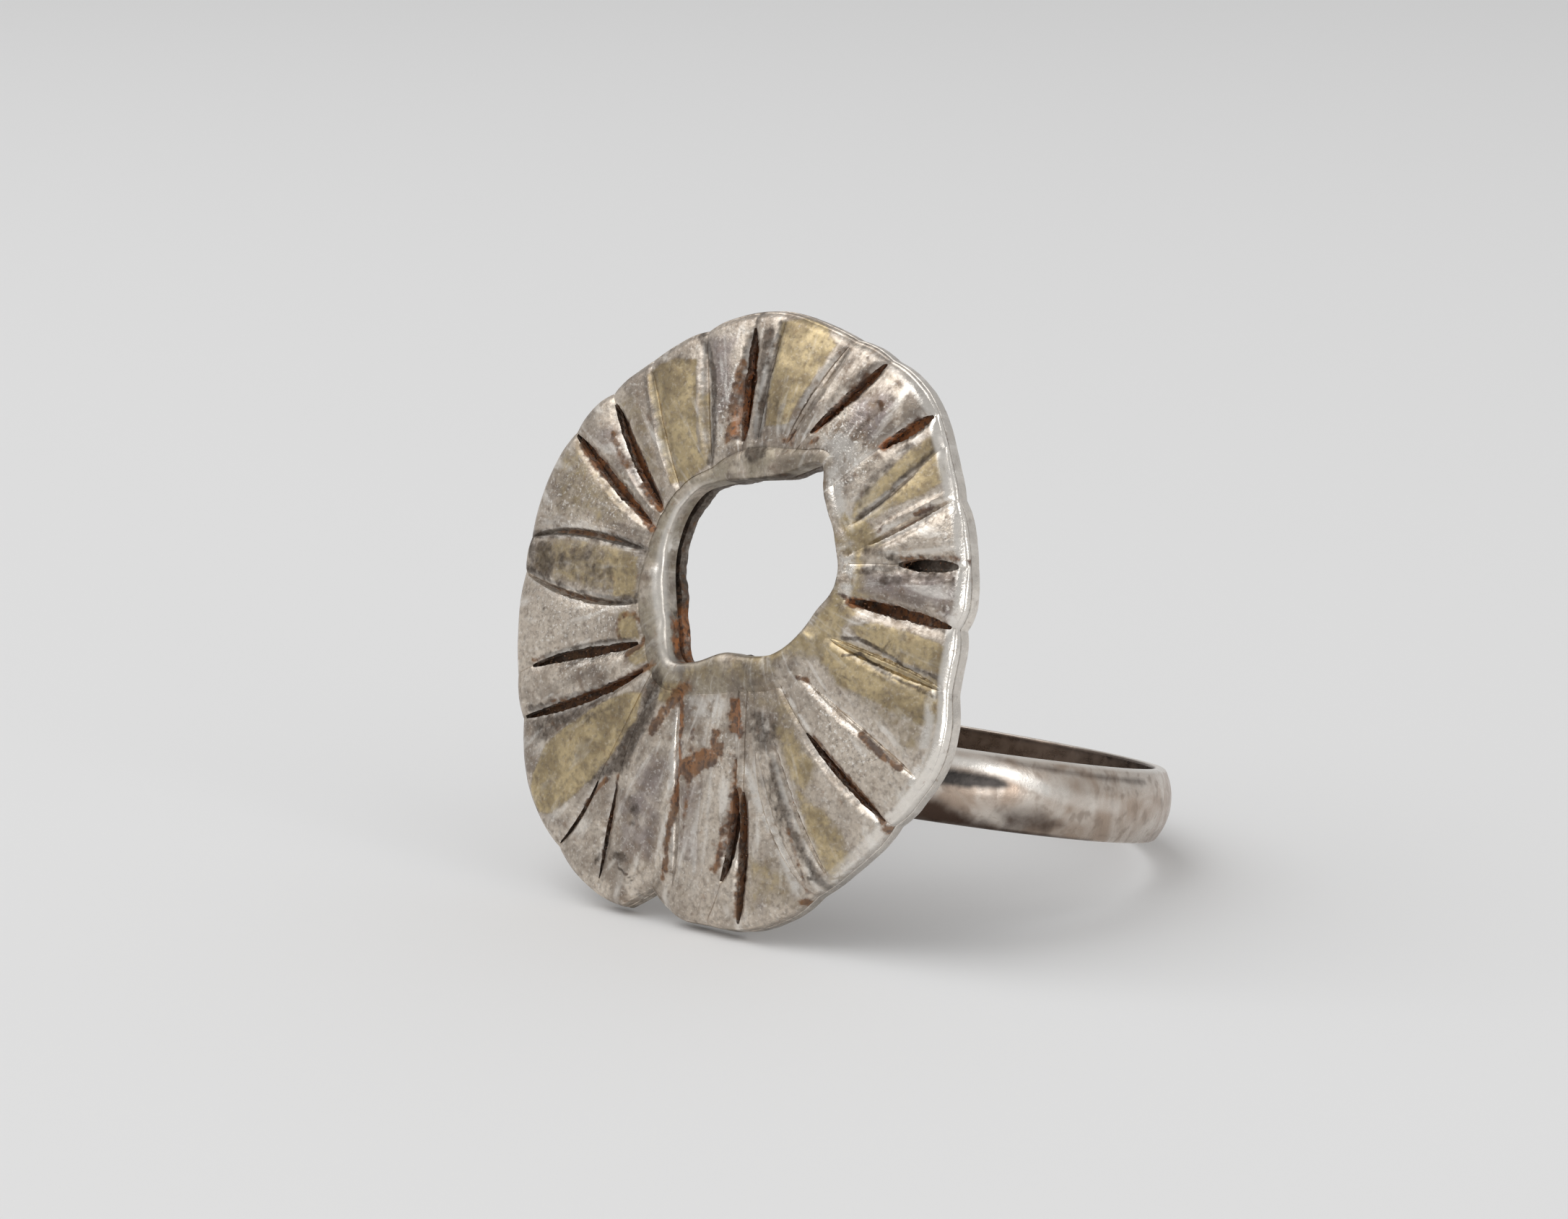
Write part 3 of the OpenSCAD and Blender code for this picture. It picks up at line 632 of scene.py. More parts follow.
# Sandy silver; the finish also paints a sparkle of pale specks here.
SAND_AND_SPARKLE_AREAS = [
    ("upper right near the lip", 1, 0.5, [(2.31, 4.71), (3.13, 5.52), (4.12, 4.92), (4.12, 3.73),
        (3.33, 2.67), (2.71, 3.55)]),
    ("left petal", 0.8, 0.5, [(-9.64, 1.41), (-8.44, 2.54), (-5.99, 1.31), (-5.48, 0.50),
        (-7.86, 0.34), (-9.56, 0.40)]),
    ("left of the top slit", 0.85, 0.3, [(-2.91, 5.61), (-2.25, 6.66), (-1.60, 4.27),
        (-1.96, 3.74), (-2.54, 4.17)]),
    ("between the left slits", 0.9, 0.3, [(-8.16, -4.08), (-5.33, -3.44), (-4.78, -3.73),
        (-7.49, -4.73)]),
    ("under the left panel", 0.7, 0.4, [(-9.46, -2.36), (-5.25, -2.19), (-5.40, -3.08),
        (-8.96, -3.81)]),
    ("strip at the lower right", 0.8, 0.3, [(3.00, -3.34), (3.78, -3.46), (6.52, -5.40),
        (5.68, -6.36), (4.02, -4.85)]),
    ("between the two grooves", 0.7, 0.3, [(-0.95, -4.40), (0.27, -5.91), (0.63, -7.06),
        (-0.13, -7.19), (-0.62, -5.32)]),
    ("at the rim, right", 0.9, 0.25, [(7.39, -4.08), (8.02, -3.98), (8.01, -4.69)]),
    ("bluish leaf rim", 0.8, 0.3, [(7.15, 2.95), (7.55, 3.01), (8.44, -0.38), (8.01, -0.46)]),
    ("beside the right lip", 0.8, 0.3, [(2.94, 2.62), (4.19, 1.35), (4.59, -0.73), (4.01, -0.81),
        (3.52, 1.02)]),
]
print("places of tarnish and bare silver:",
      sum(map(len, (RUST_AREAS, SOOT_AND_SHADE_AREAS, PLUM_AND_SHADE_AREAS, RUBBED_AND_HIGHLIGHT_AREAS, SAND_AND_SPARKLE_AREAS))))

# %% [markdown]
# Long thin marks are strokes: a name, how strong it is, how wide it is in mm, and the points on
# its way. Here are the bright edges, with painted highlights on the rim and the lip and painted
# glints in two slits, the rust and soot along the cuts, painted shade at two folds and below a
# highlight of the lip, and where rust glows orange.

# %% Strokes of wear, rust and soot, and of painted highlights and shade
# Bright worn edges, with painted highlights on the rim and the lip's facets and painted glints in
# two slits.
RUBBED_AND_HIGHLIGHT_STROKES = [
    ("highlight on the rim at the lower right", 1, 0.35, [(7.85, -3.12), (7.97, -3.99), (7.92, -4.94),
        (7.60, -6.16), (7.07, -7.18), (6.19, -8.51), (5.06, -9.65)]),
    ("highlight on the rim at the right", 0.7, 0.25, [(7.40, 3.19), (7.99, 2.14), (8.29, 1.01)]),
    ("highlight on the lip's facet at the left", 1, 0.34, [(-3.85, -0.61), (-3.73, -1.19), (-3.50, -1.85)]),
    ("highlight on the upper facet of the lip", 1, 0.16, [(-3.70, 0.05), (-3.52, 0.66), (-3.18, 1.44)]),
    ("pale ridge", 1, 0.32, [(1.14, -6.64), (1.63, -7.38), (2.38, -8.34), (3.07, -9.30),
        (3.73, -10.26)]),
    ("ridge right of the dark cloud", 0.9, 0.16, [(2.18, -3.82), (2.91, -4.43), (3.45, -4.94)]),
    ("ridge beside the lower right groove", 0.9, 0.16, [(3.25, -3.54), (4.49, -4.18),
        (5.59, -4.72)]),
    ("edge of the lower right slit", 1, 0.2, [(5.59, -6.68), (6.35, -7.31), (6.71, -7.83)]),
    ("left edge of the long groove", 0.9, 0.1, [(-2.18, -4.95), (-2.01, -6.51), (-1.99, -8.22),
        (-2.00, -10.17)]),
    ("left of the top slit", 0.8, 0.12, [(-1.99, 6.57), (-2.11, 5.20), (-2.07, 4.22)]),
    ("right of the top slit", 0.8, 0.12, [(-1.28, 6.76), (-1.06, 5.55), (-0.96, 4.34)]),
    ("glint in the top slit", 1, 0.12, [(-1.28, 5.45), (-1.17, 5.27)]),
    ("glint in the upper left slit", 1, 0.12, [(-6.12, 3.36), (-5.94, 3.23)]),
]
RUST_STROKES = [
    ("left of the top slit", 0.7, 0.3, [(-1.85, 6.63), (-1.86, 5.59), (-1.76, 4.26)]),
    ("in the top slit", 1, 0.26, [(-1.40, 6.20), (-1.24, 5.29), (-1.14, 4.45)]),
    ("upper right slit", 1, 0.3, [(1.82, 4.85), (2.39, 5.56), (3.00, 6.36), (3.27, 6.76)]),
    ("second right slit", 1, 0.3, [(4.53, 4.57), (5.03, 4.99), (5.48, 5.51)]),
    ("bluish leaf's edges", 0.7, 0.2, [(6.08, 1.02), (6.71, 1.15), (7.80, 1.32), (8.24, 1.29)]),
    ("right slit", 1, 0.34, [(4.30, -0.60), (5.28, -0.59), (6.39, -0.66), (7.44, -0.83)]),
    ("right groove", 1, 0.22, [(5.51, -4.81), (6.06, -5.12), (6.60, -5.43), (7.12, -5.63)]),
    ("lower right slit", 0.9, 0.2, [(3.67, -5.19), (4.46, -5.73), (5.26, -6.31), (6.17, -6.99),
        (6.83, -7.61)]),
    ("left slit", 1, 0.3, [(-8.42, 3.18), (-7.51, 2.51), (-6.40, 1.89), (-5.31, 1.27),
        (-4.38, 0.71)]),
    ("upper left slit, outer", 0.6, 0.25, [(-7.03, 3.69), (-6.51, 3.12), (-6.04, 2.67)]),
    ("upper left slit, inner", 0.9, 0.34, [(-5.16, 2.10), (-4.69, 1.76), (-4.21, 1.45)]),
    ("round the patch at the left of the lip", 0.6, 0.2, [(-5.12, -3.19), (-5.31, -2.69),
        (-5.15, -2.37), (-4.60, -2.20), (-4.35, -2.44)]),
    ("inner end of the third left slit", 0.9, 0.25, [(-4.70, -3.60), (-4.13, -3.20),
        (-3.99, -3.01)]),
    ("lower left slit, inner", 0.95, 0.28, [(-3.36, -3.78), (-4.19, -4.19), (-5.09, -4.67)]),
    ("lower left slit, outer", 0.5, 0.2, [(-5.09, -4.67), (-6.67, -5.29), (-8.01, -5.81)]),
    ("forked slit, left arm", 1, 0.2, [(-4.76, -7.90), (-5.17, -8.29), (-5.76, -8.95)]),
    ("forked slit, right arm", 0.8, 0.16, [(-4.29, -7.75), (-4.45, -8.62), (-4.50, -9.61),
        (-4.72, -10.51)]),
    ("long groove", 1, 0.24, [(-2.05, -4.52), (-1.86, -5.76), (-1.75, -6.96), (-1.75, -8.18),
        (-1.83, -9.17), (-1.82, -10.51)]),
    ("branch of the groove", 1, 0.4, [(-1.74, -4.28), (-2.24, -4.64), (-2.63, -5.26),
        (-3.03, -5.98)]),
    ("foot of the groove", 0.8, 0.2, [(-1.90, -10.15), (-1.92, -10.77)]),
    ("streaks right of the groove", 0.5, 0.2, [(-1.28, -5.67), (-1.28, -6.40), (-1.17, -7.59),
        (-1.16, -9.05)]),
    ("bottom slit, left", 0.9, 0.26, [(0.76, -7.09), (0.65, -7.78), (0.58, -8.52), (0.46, -9.39),
        (0.31, -10.14)]),
    ("bottom slit, right", 0.9, 0.24, [(0.95, -7.30), (1.12, -8.43), (1.26, -9.85),
        (1.33, -11.48)]),
    ("its upper end", 0.9, 0.2, [(0.48, -6.24), (0.70, -6.57), (0.72, -7.05)]),
    ("beside the pale ridge", 0.5, 0.18, [(3.15, -8.33), (3.75, -9.42), (4.08, -10.19)]),
    ("nick at the foot", 0.9, 0.3, [(3.94, -10.62), (3.99, -10.57)]),
    ("nick at the lower right", 0.9, 0.3, [(6.75, -7.70), (6.80, -7.68)]),
    ("under the step", 0.9, 0.16, [(6.21, 2.53), (6.44, 2.66), (6.69, 2.84)]),
    ("spots by the upper right slit", 0.6, 0.2, [(4.12, 5.94), (4.27, 5.76)]),
    ("red spot", 0.5, 0.2, [(3.80, 5.44), (3.92, 5.31)]),
    ("by the lip at the lower right", 0.8, 0.18, [(2.67, -3.34), (3.10, -3.37)]),
    ("lip at the top right", 0.7, 0.25, [(0.67, 4.28), (0.98, 4.56), (0.98, 4.27)]),
    ("lip corner at the top", 0.8, 0.2, [(1.78, 4.36), (2.00, 4.48)]),
    ("by the right lip", 0.5, 0.12, [(4.89, 2.11), (5.19, 2.01), (4.92, 1.59)]),
    ("tip of the third slit", 0.8, 0.2, [(4.04, -0.45), (4.35, -0.57)]),
    ("end of the third left slit", 0.6, 0.2, [(-9.10, -4.43), (-8.59, -4.31)]),
]
SOOT_AND_SHADE_STROKES = [
    ("top slit, upper end", 1, 0.3, [(-1.65, 7.57), (-1.54, 6.98), (-1.51, 6.49)]),
    ("banks of the top slit", 0.75, 0.4, [(-1.77, 7.46), (-1.73, 6.96), (-1.66, 6.35),
        (-1.58, 5.62)]),
    ("grey groove beside it", 0.95, 0.5, [(-0.99, 7.73), (-0.82, 6.81), (-0.69, 5.84),
        (-0.57, 4.43)]),
    ("left of the top panel", 0.7, 0.14, [(-0.66, 8.17), (-0.61, 7.27), (-0.48, 5.86),
        (-0.31, 4.66)]),
    ("ragged dark strip", 1, 0.3, [(-4.01, 7.42), (-3.43, 6.86), (-2.93, 6.10), (-2.59, 5.15),
        (-2.44, 4.18), (-2.36, 3.21)]),
    ("upper edge of the left panel", 1, 0.36, [(-10.30, -0.22), (-9.07, 0.00), (-7.82, 0.15),
        (-6.25, 0.19), (-4.61, -0.06)]),
    ("lower edge of the left panel", 1, 0.28, [(-9.98, -1.36), (-8.66, -1.71), (-7.35, -1.90),
        (-5.97, -1.91), (-4.68, -1.79)]),
    ("left tip of the left panel", 0.8, 0.3, [(-10.25, -1.28), (-9.63, -1.37)]),
    ("third left slit", 1, 0.26, [(-8.60, -4.29), (-7.31, -3.84), (-6.00, -3.43), (-4.72, -3.18)]),
    ("lower left slit", 0.9, 0.26, [(-8.90, -6.11), (-7.83, -5.78), (-6.67, -5.32),
        (-5.39, -4.81)]),
    ("right border of the lower left panel", 1, 0.6, [(-3.11, -4.16), (-3.27, -4.74),
        (-3.38, -5.37), (-3.70, -6.04), (-4.00, -6.58), (-4.28, -7.23)]),
    ("dot at the lip", 0.9, 0.2, [(-3.20, -4.15), (-3.04, -4.18)]),
    ("forked slit, end", 0.9, 0.1, [(-4.57, -9.62), (-4.74, -10.35), (-4.92, -10.82)]),
    ("lilac shadow low on the left", 0.45, 0.4, [(-3.76, -8.38), (-3.21, -8.78), (-3.31, -9.17)]),
    ("dark along the third leaf", 0.7, 0.3, [(5.29, 0.17), (6.46, 0.48), (7.91, 0.79),
        (8.33, 0.90)]),
    ("right of the upper right panel", 0.6, 0.3, [(6.29, 4.98), (6.96, 4.13), (7.18, 3.64)]),
    # Painted shade along a soft fold beside the third slit.
    ("fold before the third slit", 0.75, 0.35, [(4.52, 0.40), (5.20, 0.61), (6.02, 0.79)]),
    ("fold above the third slit", 0.6, 0.3, [(4.67, 1.13), (5.53, 1.06), (6.09, 0.99)]),
    ("smear beside it", 0.75, 0.3, [(-4.26, -10.46), (-3.88, -10.30), (-3.55, -10.34),
        (-3.85, -10.54)]),
    ("crack above the bite", 0.9, 0.07, [(-3.85, -10.76), (-3.54, -10.90), (-3.18, -11.14)]),
    ("upper line of the right panel", 1, 0.14, [(4.24, -1.82), (4.92, -1.73), (5.66, -1.92),
        (6.68, -2.34), (7.47, -2.45), (8.12, -2.60)]),
    ("lower line of the right panel", 1, 0.12, [(4.37, -2.37), (5.01, -2.21), (5.79, -2.59),
        (6.64, -2.84), (7.32, -2.99), (8.03, -3.16)]),
    ("between their ends", 0.8, 0.2, [(8.04, -2.57), (8.11, -2.83), (8.05, -3.13)]),
    ("scratched triangle", 0.5, 0.06, [(5.87, -2.01), (6.11, -1.65), (6.23, -1.86),
        (6.53, -2.10)]),
    ("hairline", 0.5, 0.06, [(4.22, -2.97), (4.64, -3.05), (5.16, -3.35)]),
    ("long hairline", 0.4, 0.06, [(5.53, -3.48), (6.94, -3.73), (7.93, -3.95)]),
    ("line of the upper right panel", 1, 0.16, [(4.06, 2.10), (4.88, 2.82), (5.49, 3.62),
        (5.99, 4.17), (6.41, 4.71)]),
    ("end of the upper right panel", 0.9, 0.26, [(6.27, 5.07), (6.50, 5.17), (6.60, 4.97)]),
    ("its right side", 0.75, 0.22, [(6.91, 4.32), (6.99, 4.02), (6.94, 3.84)]),
    ("grey band under the second slit", 0.6, 0.36, [(5.54, 4.68), (4.99, 4.08), (4.47, 3.41),
        (4.12, 2.65)]),
    ("brown bottom slit", 0.5, 0.2, [(0.64, -7.50), (0.60, -8.03), (0.51, -8.65)]),
    ("bottom slit, right, its dark", 0.55, 0.2, [(1.07, -7.71), (1.26, -9.13), (1.35, -10.80)]),
    # Painted shade where the lip turns away below its highlight.
    ("foot of that facet", 1, 0.3, [(-3.13, -1.94), (-2.94, -2.46), (-2.61, -3.02)]),
    ("line beside the pale ridge", 0.85, 0.34, [(2.25, -6.32), (2.56, -7.11), (3.22, -8.20),
        (3.90, -9.03), (4.67, -9.85)]),
    ("spots in the strip, upper", 0.7, 0.1, [(2.23, -7.33), (2.37, -7.45), (2.27, -7.61)]),
    ("spots in the strip, middle", 0.7, 0.1, [(2.53, -7.71), (2.65, -7.93), (2.50, -8.10)]),
    ("spots in the strip, lower", 0.7, 0.12, [(2.75, -8.40), (2.95, -8.60), (2.88, -8.90)]),
    ("spot near the foot", 0.8, 0.12, [(4.12, -9.73), (4.27, -9.75)]),
    ("right slit's outer end", 1, 0.34, [(7.45, -0.88), (7.94, -0.94), (8.27, -1.05)]),
    ("squiggle", 0.7, 0.05, [(7.86, -0.25), (7.81, -0.40), (7.94, -0.50), (7.81, -0.61)]),
    ("dark spot on the upper right petal", 0.7, 0.14, [(4.08, 5.98), (4.23, 5.83)]),
    ("oval on the lip", 1, 0.52, [(-0.62, 3.67), (-0.19, 3.79)]),
    ("rough edge of the lip at the top", 0.9, 0.16, [(-1.46, 2.62), (-0.51, 2.82), (0.30, 2.96),
        (1.02, 3.17), (1.87, 3.30)]),
    ("dot on the lip", 0.6, 0.1, [(-3.93, -2.59), (-3.83, -2.62)]),
    ("petal dots", 0.6, 0.1, [(-7.20, -2.45), (-7.14, -2.57)]),
    ("petal dot", 0.6, 0.1, [(-8.87, -2.62), (-8.77, -2.55)]),
    ("left of the patch, dots", 0.5, 0.1, [(-7.55, -3.17), (-7.48, -3.31)]),
    ("speckled dark beside the lower left slit", 0.5, 0.25, [(-7.60, -4.50), (-7.05, -4.25)]),
    ("crack across the lip", 0.5, 0.06, [(-3.61, -0.19), (-3.07, -0.17)]),
    ("top notch", 0.6, 0.2, [(-1.97, 8.39), (-1.56, 8.42)]),
    ("upper right notch", 0.5, 0.2, [(1.83, 8.05), (2.05, 7.98)]),
]
GLOW_STROKES = [
    ("top slit, red above", 1, 0.2, [(-1.47, 6.44), (-1.39, 5.96)]),
    ("top slit, red below", 0.5, 0.26, [(-1.65, 5.86), (-1.55, 5.01), (-1.55, 4.16)]),
    ("upper right slit, lower half", 0.9, 0.34, [(1.77, 4.84), (2.66, 5.91)]),
    ("second right slit, inner half", 1, 0.34, [(4.53, 4.57), (4.99, 4.96)]),
    ("right slit, inner half", 0.4, 0.36, [(4.30, -0.60), (6.39, -0.66), (7.31, -0.80)]),
    ("left slit", 0.35, 0.3, [(-8.10, 2.88), (-6.46, 1.85), (-4.39, 0.76)]),
    ("upper left slit, inner end", 0.25, 0.3, [(-5.09, 2.06), (-4.21, 1.45)]),
    ("smear", 0.12, 0.6, [(-1.42, -7.03), (-0.45, -6.27), (-0.40, -5.65)]),
    ("drop", 0.3, 0.4, [(0.30, -4.46), (0.69, -5.48)]),
    ("long groove", 0.25, 0.24, [(-2.05, -4.52), (-1.75, -6.96), (-1.75, -8.18)]),
    ("bottom slits", 0.15, 0.4, [(0.70, -7.29), (0.62, -8.76), (0.40, -9.88)]),
]
print("strokes:", sum(map(len, (RUBBED_AND_HIGHLIGHT_STROKES, RUST_STROKES, SOOT_AND_SHADE_STROKES, GLOW_STROKES))))

# %% [markdown]
# The charts become numbers on the points of the mesh, from 0 to 1. An attribute like this goes
# with the mesh wherever it is used, needs no image, and is easy to read in a material.

# %% Marks on the points of a mesh


def gap_to_line(u, v, points):
    """Distance to the nearest part of a line through the points."""
    best = np.full(np.shape(u), 99.0)
    for (au, av), (bu, bv) in zip(points[:-1], points[1:]):
        du, dv = bu - au, bv - av
        s = np.clip(((u - au) * du + (v - av) * dv) / (du * du + dv * dv), 0, 1)
        best = np.minimum(best, np.hypot(u - au - s * du, v - av - s * dv))
    return best


def is_inside(u, v, points):
    """Whether each place lies inside the outline, by counting the sides it has to cross."""
    odd = np.zeros(np.shape(u), bool)
    for (au, av), (bu, bv) in zip(points, points[1:] + points[:1]):
        if av != bv:
            odd ^= ((av > v) != (bv > v)) & (u < (bu - au) * (v - av) / (bv - av) + au)
    return odd


def charted(u, v, areas, strokes):
    """Strength of a mark at each point."""
    value = np.zeros(np.shape(u))
    for _, strength, edge, points in areas:
        gap = gap_to_line(u, v, points + points[:1])
        gap = np.where(is_inside(u, v, points), gap, -gap)
        value = np.maximum(value, strength * smooth_step(-edge, edge, gap))
    for _, strength, width, points in strokes:
        gap = gap_to_line(u, v, points)
        value = np.maximum(value, strength * (1 - smooth_step(0.15 * width, 0.8 * width, gap)))
    return value


def add_marks(piece, marks):
    """Each mark becomes an attribute with one number for each point."""
    for name, values in marks.items():
        layer = piece.data.attributes.new(name, "FLOAT", "POINT")
        layer.data.foreach_set("value", np.asarray(values, np.float32).ravel())


def stand_up(piece):
    """The piece's points in mm on the upright ring, so this undoes `lean_back`."""
    x, y, z = np.array([v.co for v in piece.data.vertices]).T / MM
    return (x, y * math.cos(LEAN) - z * math.sin(LEAN),
            z * math.cos(LEAN) + y * math.sin(LEAN))


def head_points(piece):
    """The piece's points as u, v and w on the flat head, in mm."""
    x, y, z = stand_up(piece)
    return x - HOLE_RIGHT, z - HOLE_UP, -HEAD_BACK - y


STREAKS_FROM, STREAKS_ROUND = 353, 7


def streak_marks(radius, angle):
    """Places across and along the petals, for streaks that follow them."""
    return {"turn": np.radians((angle - STREAKS_FROM) % 360) * STREAKS_ROUND, "reach": radius}


print("points of the front sheet that carry each mark:", len(front_sheet.data.vertices))

# %% [markdown]
# Soot and orange rust lie deep in the hollow, and the petals are not equally clean. Some
# petals are also painted brighter or darker as light and shade. The two tables below say how
# much so round the head. The other limits are places on the sheet in mm, shares of the lip's
# width and angles in degrees.

# %% Marks of the front sheet
HOLLOW_ROWS = [  # angle, how orange the inside is there, from dark brown
    (7, 0.1), (30, 0.4), (44, 0.8), (62, 0.8), (88, 0.5), (103, 0.9), (125, 0.2), (149, 0.3),
    (164, 0.9), (172, 0.1), (175, -0.3), (198, -0.3), (207, 0.1), (216, 0.25), (237, 0.6),
    (250, 0.5), (270, 0.6), (277, 0.3), (312, 0.7), (353, 0.55)]
CLEAN_AND_LIGHT_ROWS = [  # angle, how bright the silver is painted there, for dirt and for light: 1 clean and lit, 0 as usual, below 0 dirtier and shaded
    (2, 0.15), (9, 0.5), (18, 0.85), (27, 0.6), (40, 0.3), (50, -0.7), (60, -0.4),
    (70, -0.7), (77, -0.2), (88, 0.2), (97, 0.0), (108, 0.4), (122, 0.6), (140, 0.1),
    (152, 0.45), (168, 0.4), (178, 0.35), (198, 0.85), (211, 0.25), (216, 0.0), (232, 0.1),
    (241, 0.4), (250, 0.1), (261, 0.45), (269, 0.9), (276, 0.65), (286, 0.6), (294, 0.6),
    (304, 0.75), (318, 0.95), (330, 1.0), (346, 0.5), (354, -0.2)]


def hollow_glow(radius, angle):
    """How orange the inside is: more so near the hole, where damp came in."""
    share = (radius - hole_r(angle)) / (rim_r(angle) - hole_r(angle))
    return closed_curve(HOLLOW_ROWS, 1)(angle) + 1.1 * (0.5 - share)


WORN_AT, WORN_W = 0.02, 0.07


def edge_wear_and_highlight(radius, angle):
    """How near each point is to the edge of a cut, which is rubbed bright and painted with a
    highlight.
    """
    worn = np.zeros(len(radius))
    for number, cut in enumerate(CUTS):
        middle = cut_angle(cut)
        reach = line_radius(middle)
        turned = off(angle, np.interp(radius, reach, middle))
        gap = np.abs(np.radians(turned) * radius) - np.interp(radius, reach, cut_half(cut, number))
        worn = np.maximum(worn, np.interp(radius, reach, cut_open(cut), 0, 0)
                          * np.exp(-((gap - WORN_AT) / WORN_W) ** 2))
    return worn


u, v, w = head_points(front_sheet)
radius, angle = np.hypot(u, v), np.degrees(np.arctan2(v, u)) % 360
from_lip = (radius - hole_r(angle)) / np.maximum(lip_w(angle), 0.1)
to_rim = rim_r(angle) - SEAM_STEP - radius
along = np.clip((radius - hole_r(angle) - lip_w(angle))
                / (rim_r(angle) - SEAM_STEP - ROLL_W - hole_r(angle) - lip_w(angle)), 0, 1)
face_h = (face_level(along, shoulder_h(angle))
          - BEND_H * np.clip(1 - (to_rim - ROLL_W) / BEND_W, 0, 1) ** 2)
under = (w < face_h - 0.2) & (to_rim > 0.2) & (from_lip > 0.28)
off_right = np.abs(off(angle, 0))
right_side = smooth_step(LEFT_TO, LEFT_FROM, off_right)
lip_side = smooth_step(LEFT_FROM, LEFT_TO, off_right)
gilded = charted(u, v, GILD_AREAS, [])
# A painted highlight on the crest of the lip at its left, where the lights glint on it.
painted_lip_highlight = (0.75 * smooth_step(0.45, 0.15, from_lip) * smooth_step(1.1, 1.35, w)
              * smooth_step(75, 25, np.abs(angle - 186)))
open_seam = smooth_step(0.60, 0.50, w) * smooth_step(0.15, 0.08, to_rim)
# Painted shade in the crease at the foot of the lip.
lip_foot_shade = 0.12 * lip_side * np.exp(-((from_lip - 1) * lip_w(angle) / 0.06) ** 2)
# Orange at the lower left of the hole: rust, and a painted orange reflection.
lip_rust_and_reflection = (smooth_step(15, 7, np.abs(angle - 224)) * smooth_step(1.3, 1.05, w)
            * smooth_step(0.3, 0.1, from_lip))
add_marks(front_sheet, {
    "gild": gilded * ~under,
    "rust": np.where(under, 0.8, np.maximum(charted(u, v, RUST_AREAS, RUST_STROKES),
                                            0.8 * lip_rust_and_reflection)),
    "glow": np.where(under, np.clip(0.3 + hollow_glow(radius, angle), 0, 1),
                     np.maximum(charted(u, v, [], GLOW_STROKES), 0.7 * lip_rust_and_reflection)),
    # Soot and dark joints, with painted shade under the lip, at its foot and turn, and at two
    # folds.
    "soot_and_shade": np.where(under, 0.25, np.maximum.reduce([
        charted(u, v, SOOT_AND_SHADE_AREAS, SOOT_AND_SHADE_STROKES), open_seam * smooth_step(16, 7, off_right),
        lip_foot_shade])),
    "plum_and_shade": charted(u, v, PLUM_AND_SHADE_AREAS, []) * ~under,
    "sand_and_sparkle": charted(u, v, SAND_AND_SPARKLE_AREAS, []) * ~under,
    "lip": smooth_step(1.04, 0.95, from_lip) * lip_side,
    # How bright the silver is round the head: partly how clean each petal is, partly painted light
    # and shade.
    "clean": np.clip(closed_curve(CLEAN_AND_LIGHT_ROWS, 1)(angle), -1, 1) * np.maximum(
        smooth_step(0.0, 0.35, along), right_side),
    **streak_marks(radius, angle),
    # Rubbed edges, and painted highlights on the edges of the cuts, on the rim and on the lip.
    "worn": ~under * np.maximum(edge_wear_and_highlight(radius, angle) * (0.7 - 0.42 * gilded),
                                charted(u, v, RUBBED_AND_HIGHLIGHT_AREAS, RUBBED_AND_HIGHLIGHT_STROKES)),
    # Painted highlight on the rolled rim at the right and on the lip's crest, with a little
    # polish: pale colour and less roughness.
    "polish_and_highlight": ~under * np.maximum(0.9 * right_side * smooth_step(0.42, 0.25, to_rim),
                                  painted_lip_highlight)})
print("share of the face that is gilded:", round(float((gilded > 0.5).mean()), 2))

# %% [markdown]
# The back sheet is one flat piece of silver, sawn and filed to the rim of the front. Seen through
# the slits its inner side is rust-brown, and its edge in the hole was left rough from the punch.

# %% Back sheet
BACK_HOLE_EXTRA, BACK_LINES, INSIDE_H = 0.10, 720, BACK_T - 0.02
BACK_ROWS = [  # share from the hole to the rim, height, how much of the roughness
    (0.0, 0.03, 1), (0.004, 0.0, 0.9), (0.05, 0, 0), (0.2, 0, 0), (0.35, 0, 0), (0.5, 0, 0),
    (0.65, 0, 0), (0.8, 0, 0), (0.93, 0, 0), (0.985, 0.005, 0), (0.997, 0.04, 0), (1, 0.12, 0),
    (1, 0.3, 0), (0.998, 0.42, 0), (0.99, 0.45, 0), (0.9, 0.45, 0), (0.6, 0.45, 0),
    (0.3, 0.45, 0), (0.03, 0.45, 0.3), (0.0, 0.41, 1), (-0.004, 0.22, 1)]
angles = np.arange(BACK_LINES) * 360 / BACK_LINES
cosines, sines = np.cos(np.radians(angles)), np.sin(np.radians(angles))


def round_noise(reach, seed, start=0.0):
    """Noise from -1 to 1 round a ring, with `reach` bumps or so to the turn."""
    return waves(reach * cosines, reach * sines, seed + start) * 1.6


punch = 0.08 * round_noise(5, 11) + 0.018 * round_noise(14, 12) + 0.008 * round_noise(34, 13)
filed = 0.012 * round_noise(6, 14) + 0.006 * round_noise(30, 15) - 0.014
outer_edge = rim_r(angles) + filed
back_points = []
for n, (share, height, rough) in enumerate(BACK_ROWS):
    burr = rough * (punch + 0.005 * round_noise(26, 16, n))
    r = mix(hole_r(angles) + BACK_HOLE_EXTRA + burr, outer_edge, share)
    dents = 0.02 * (1 + round_noise(4, 17, 4 * share)) if height == 0 and rough == 0 else 0
    back_points.append(np.stack([r * cosines, r * sines, height + 0 * r + dents], 1))


def grid_faces(rows, columns, closed):
    """Faces between rows of points, where a closed skin also joins its ends both ways."""
    return [(i * columns + j, i * columns + (j + 1) % columns,
             (i + 1) % rows * columns + (j + 1) % columns, (i + 1) % rows * columns + j)
            for i in range(rows - (not closed)) for j in range(columns - (not closed))]


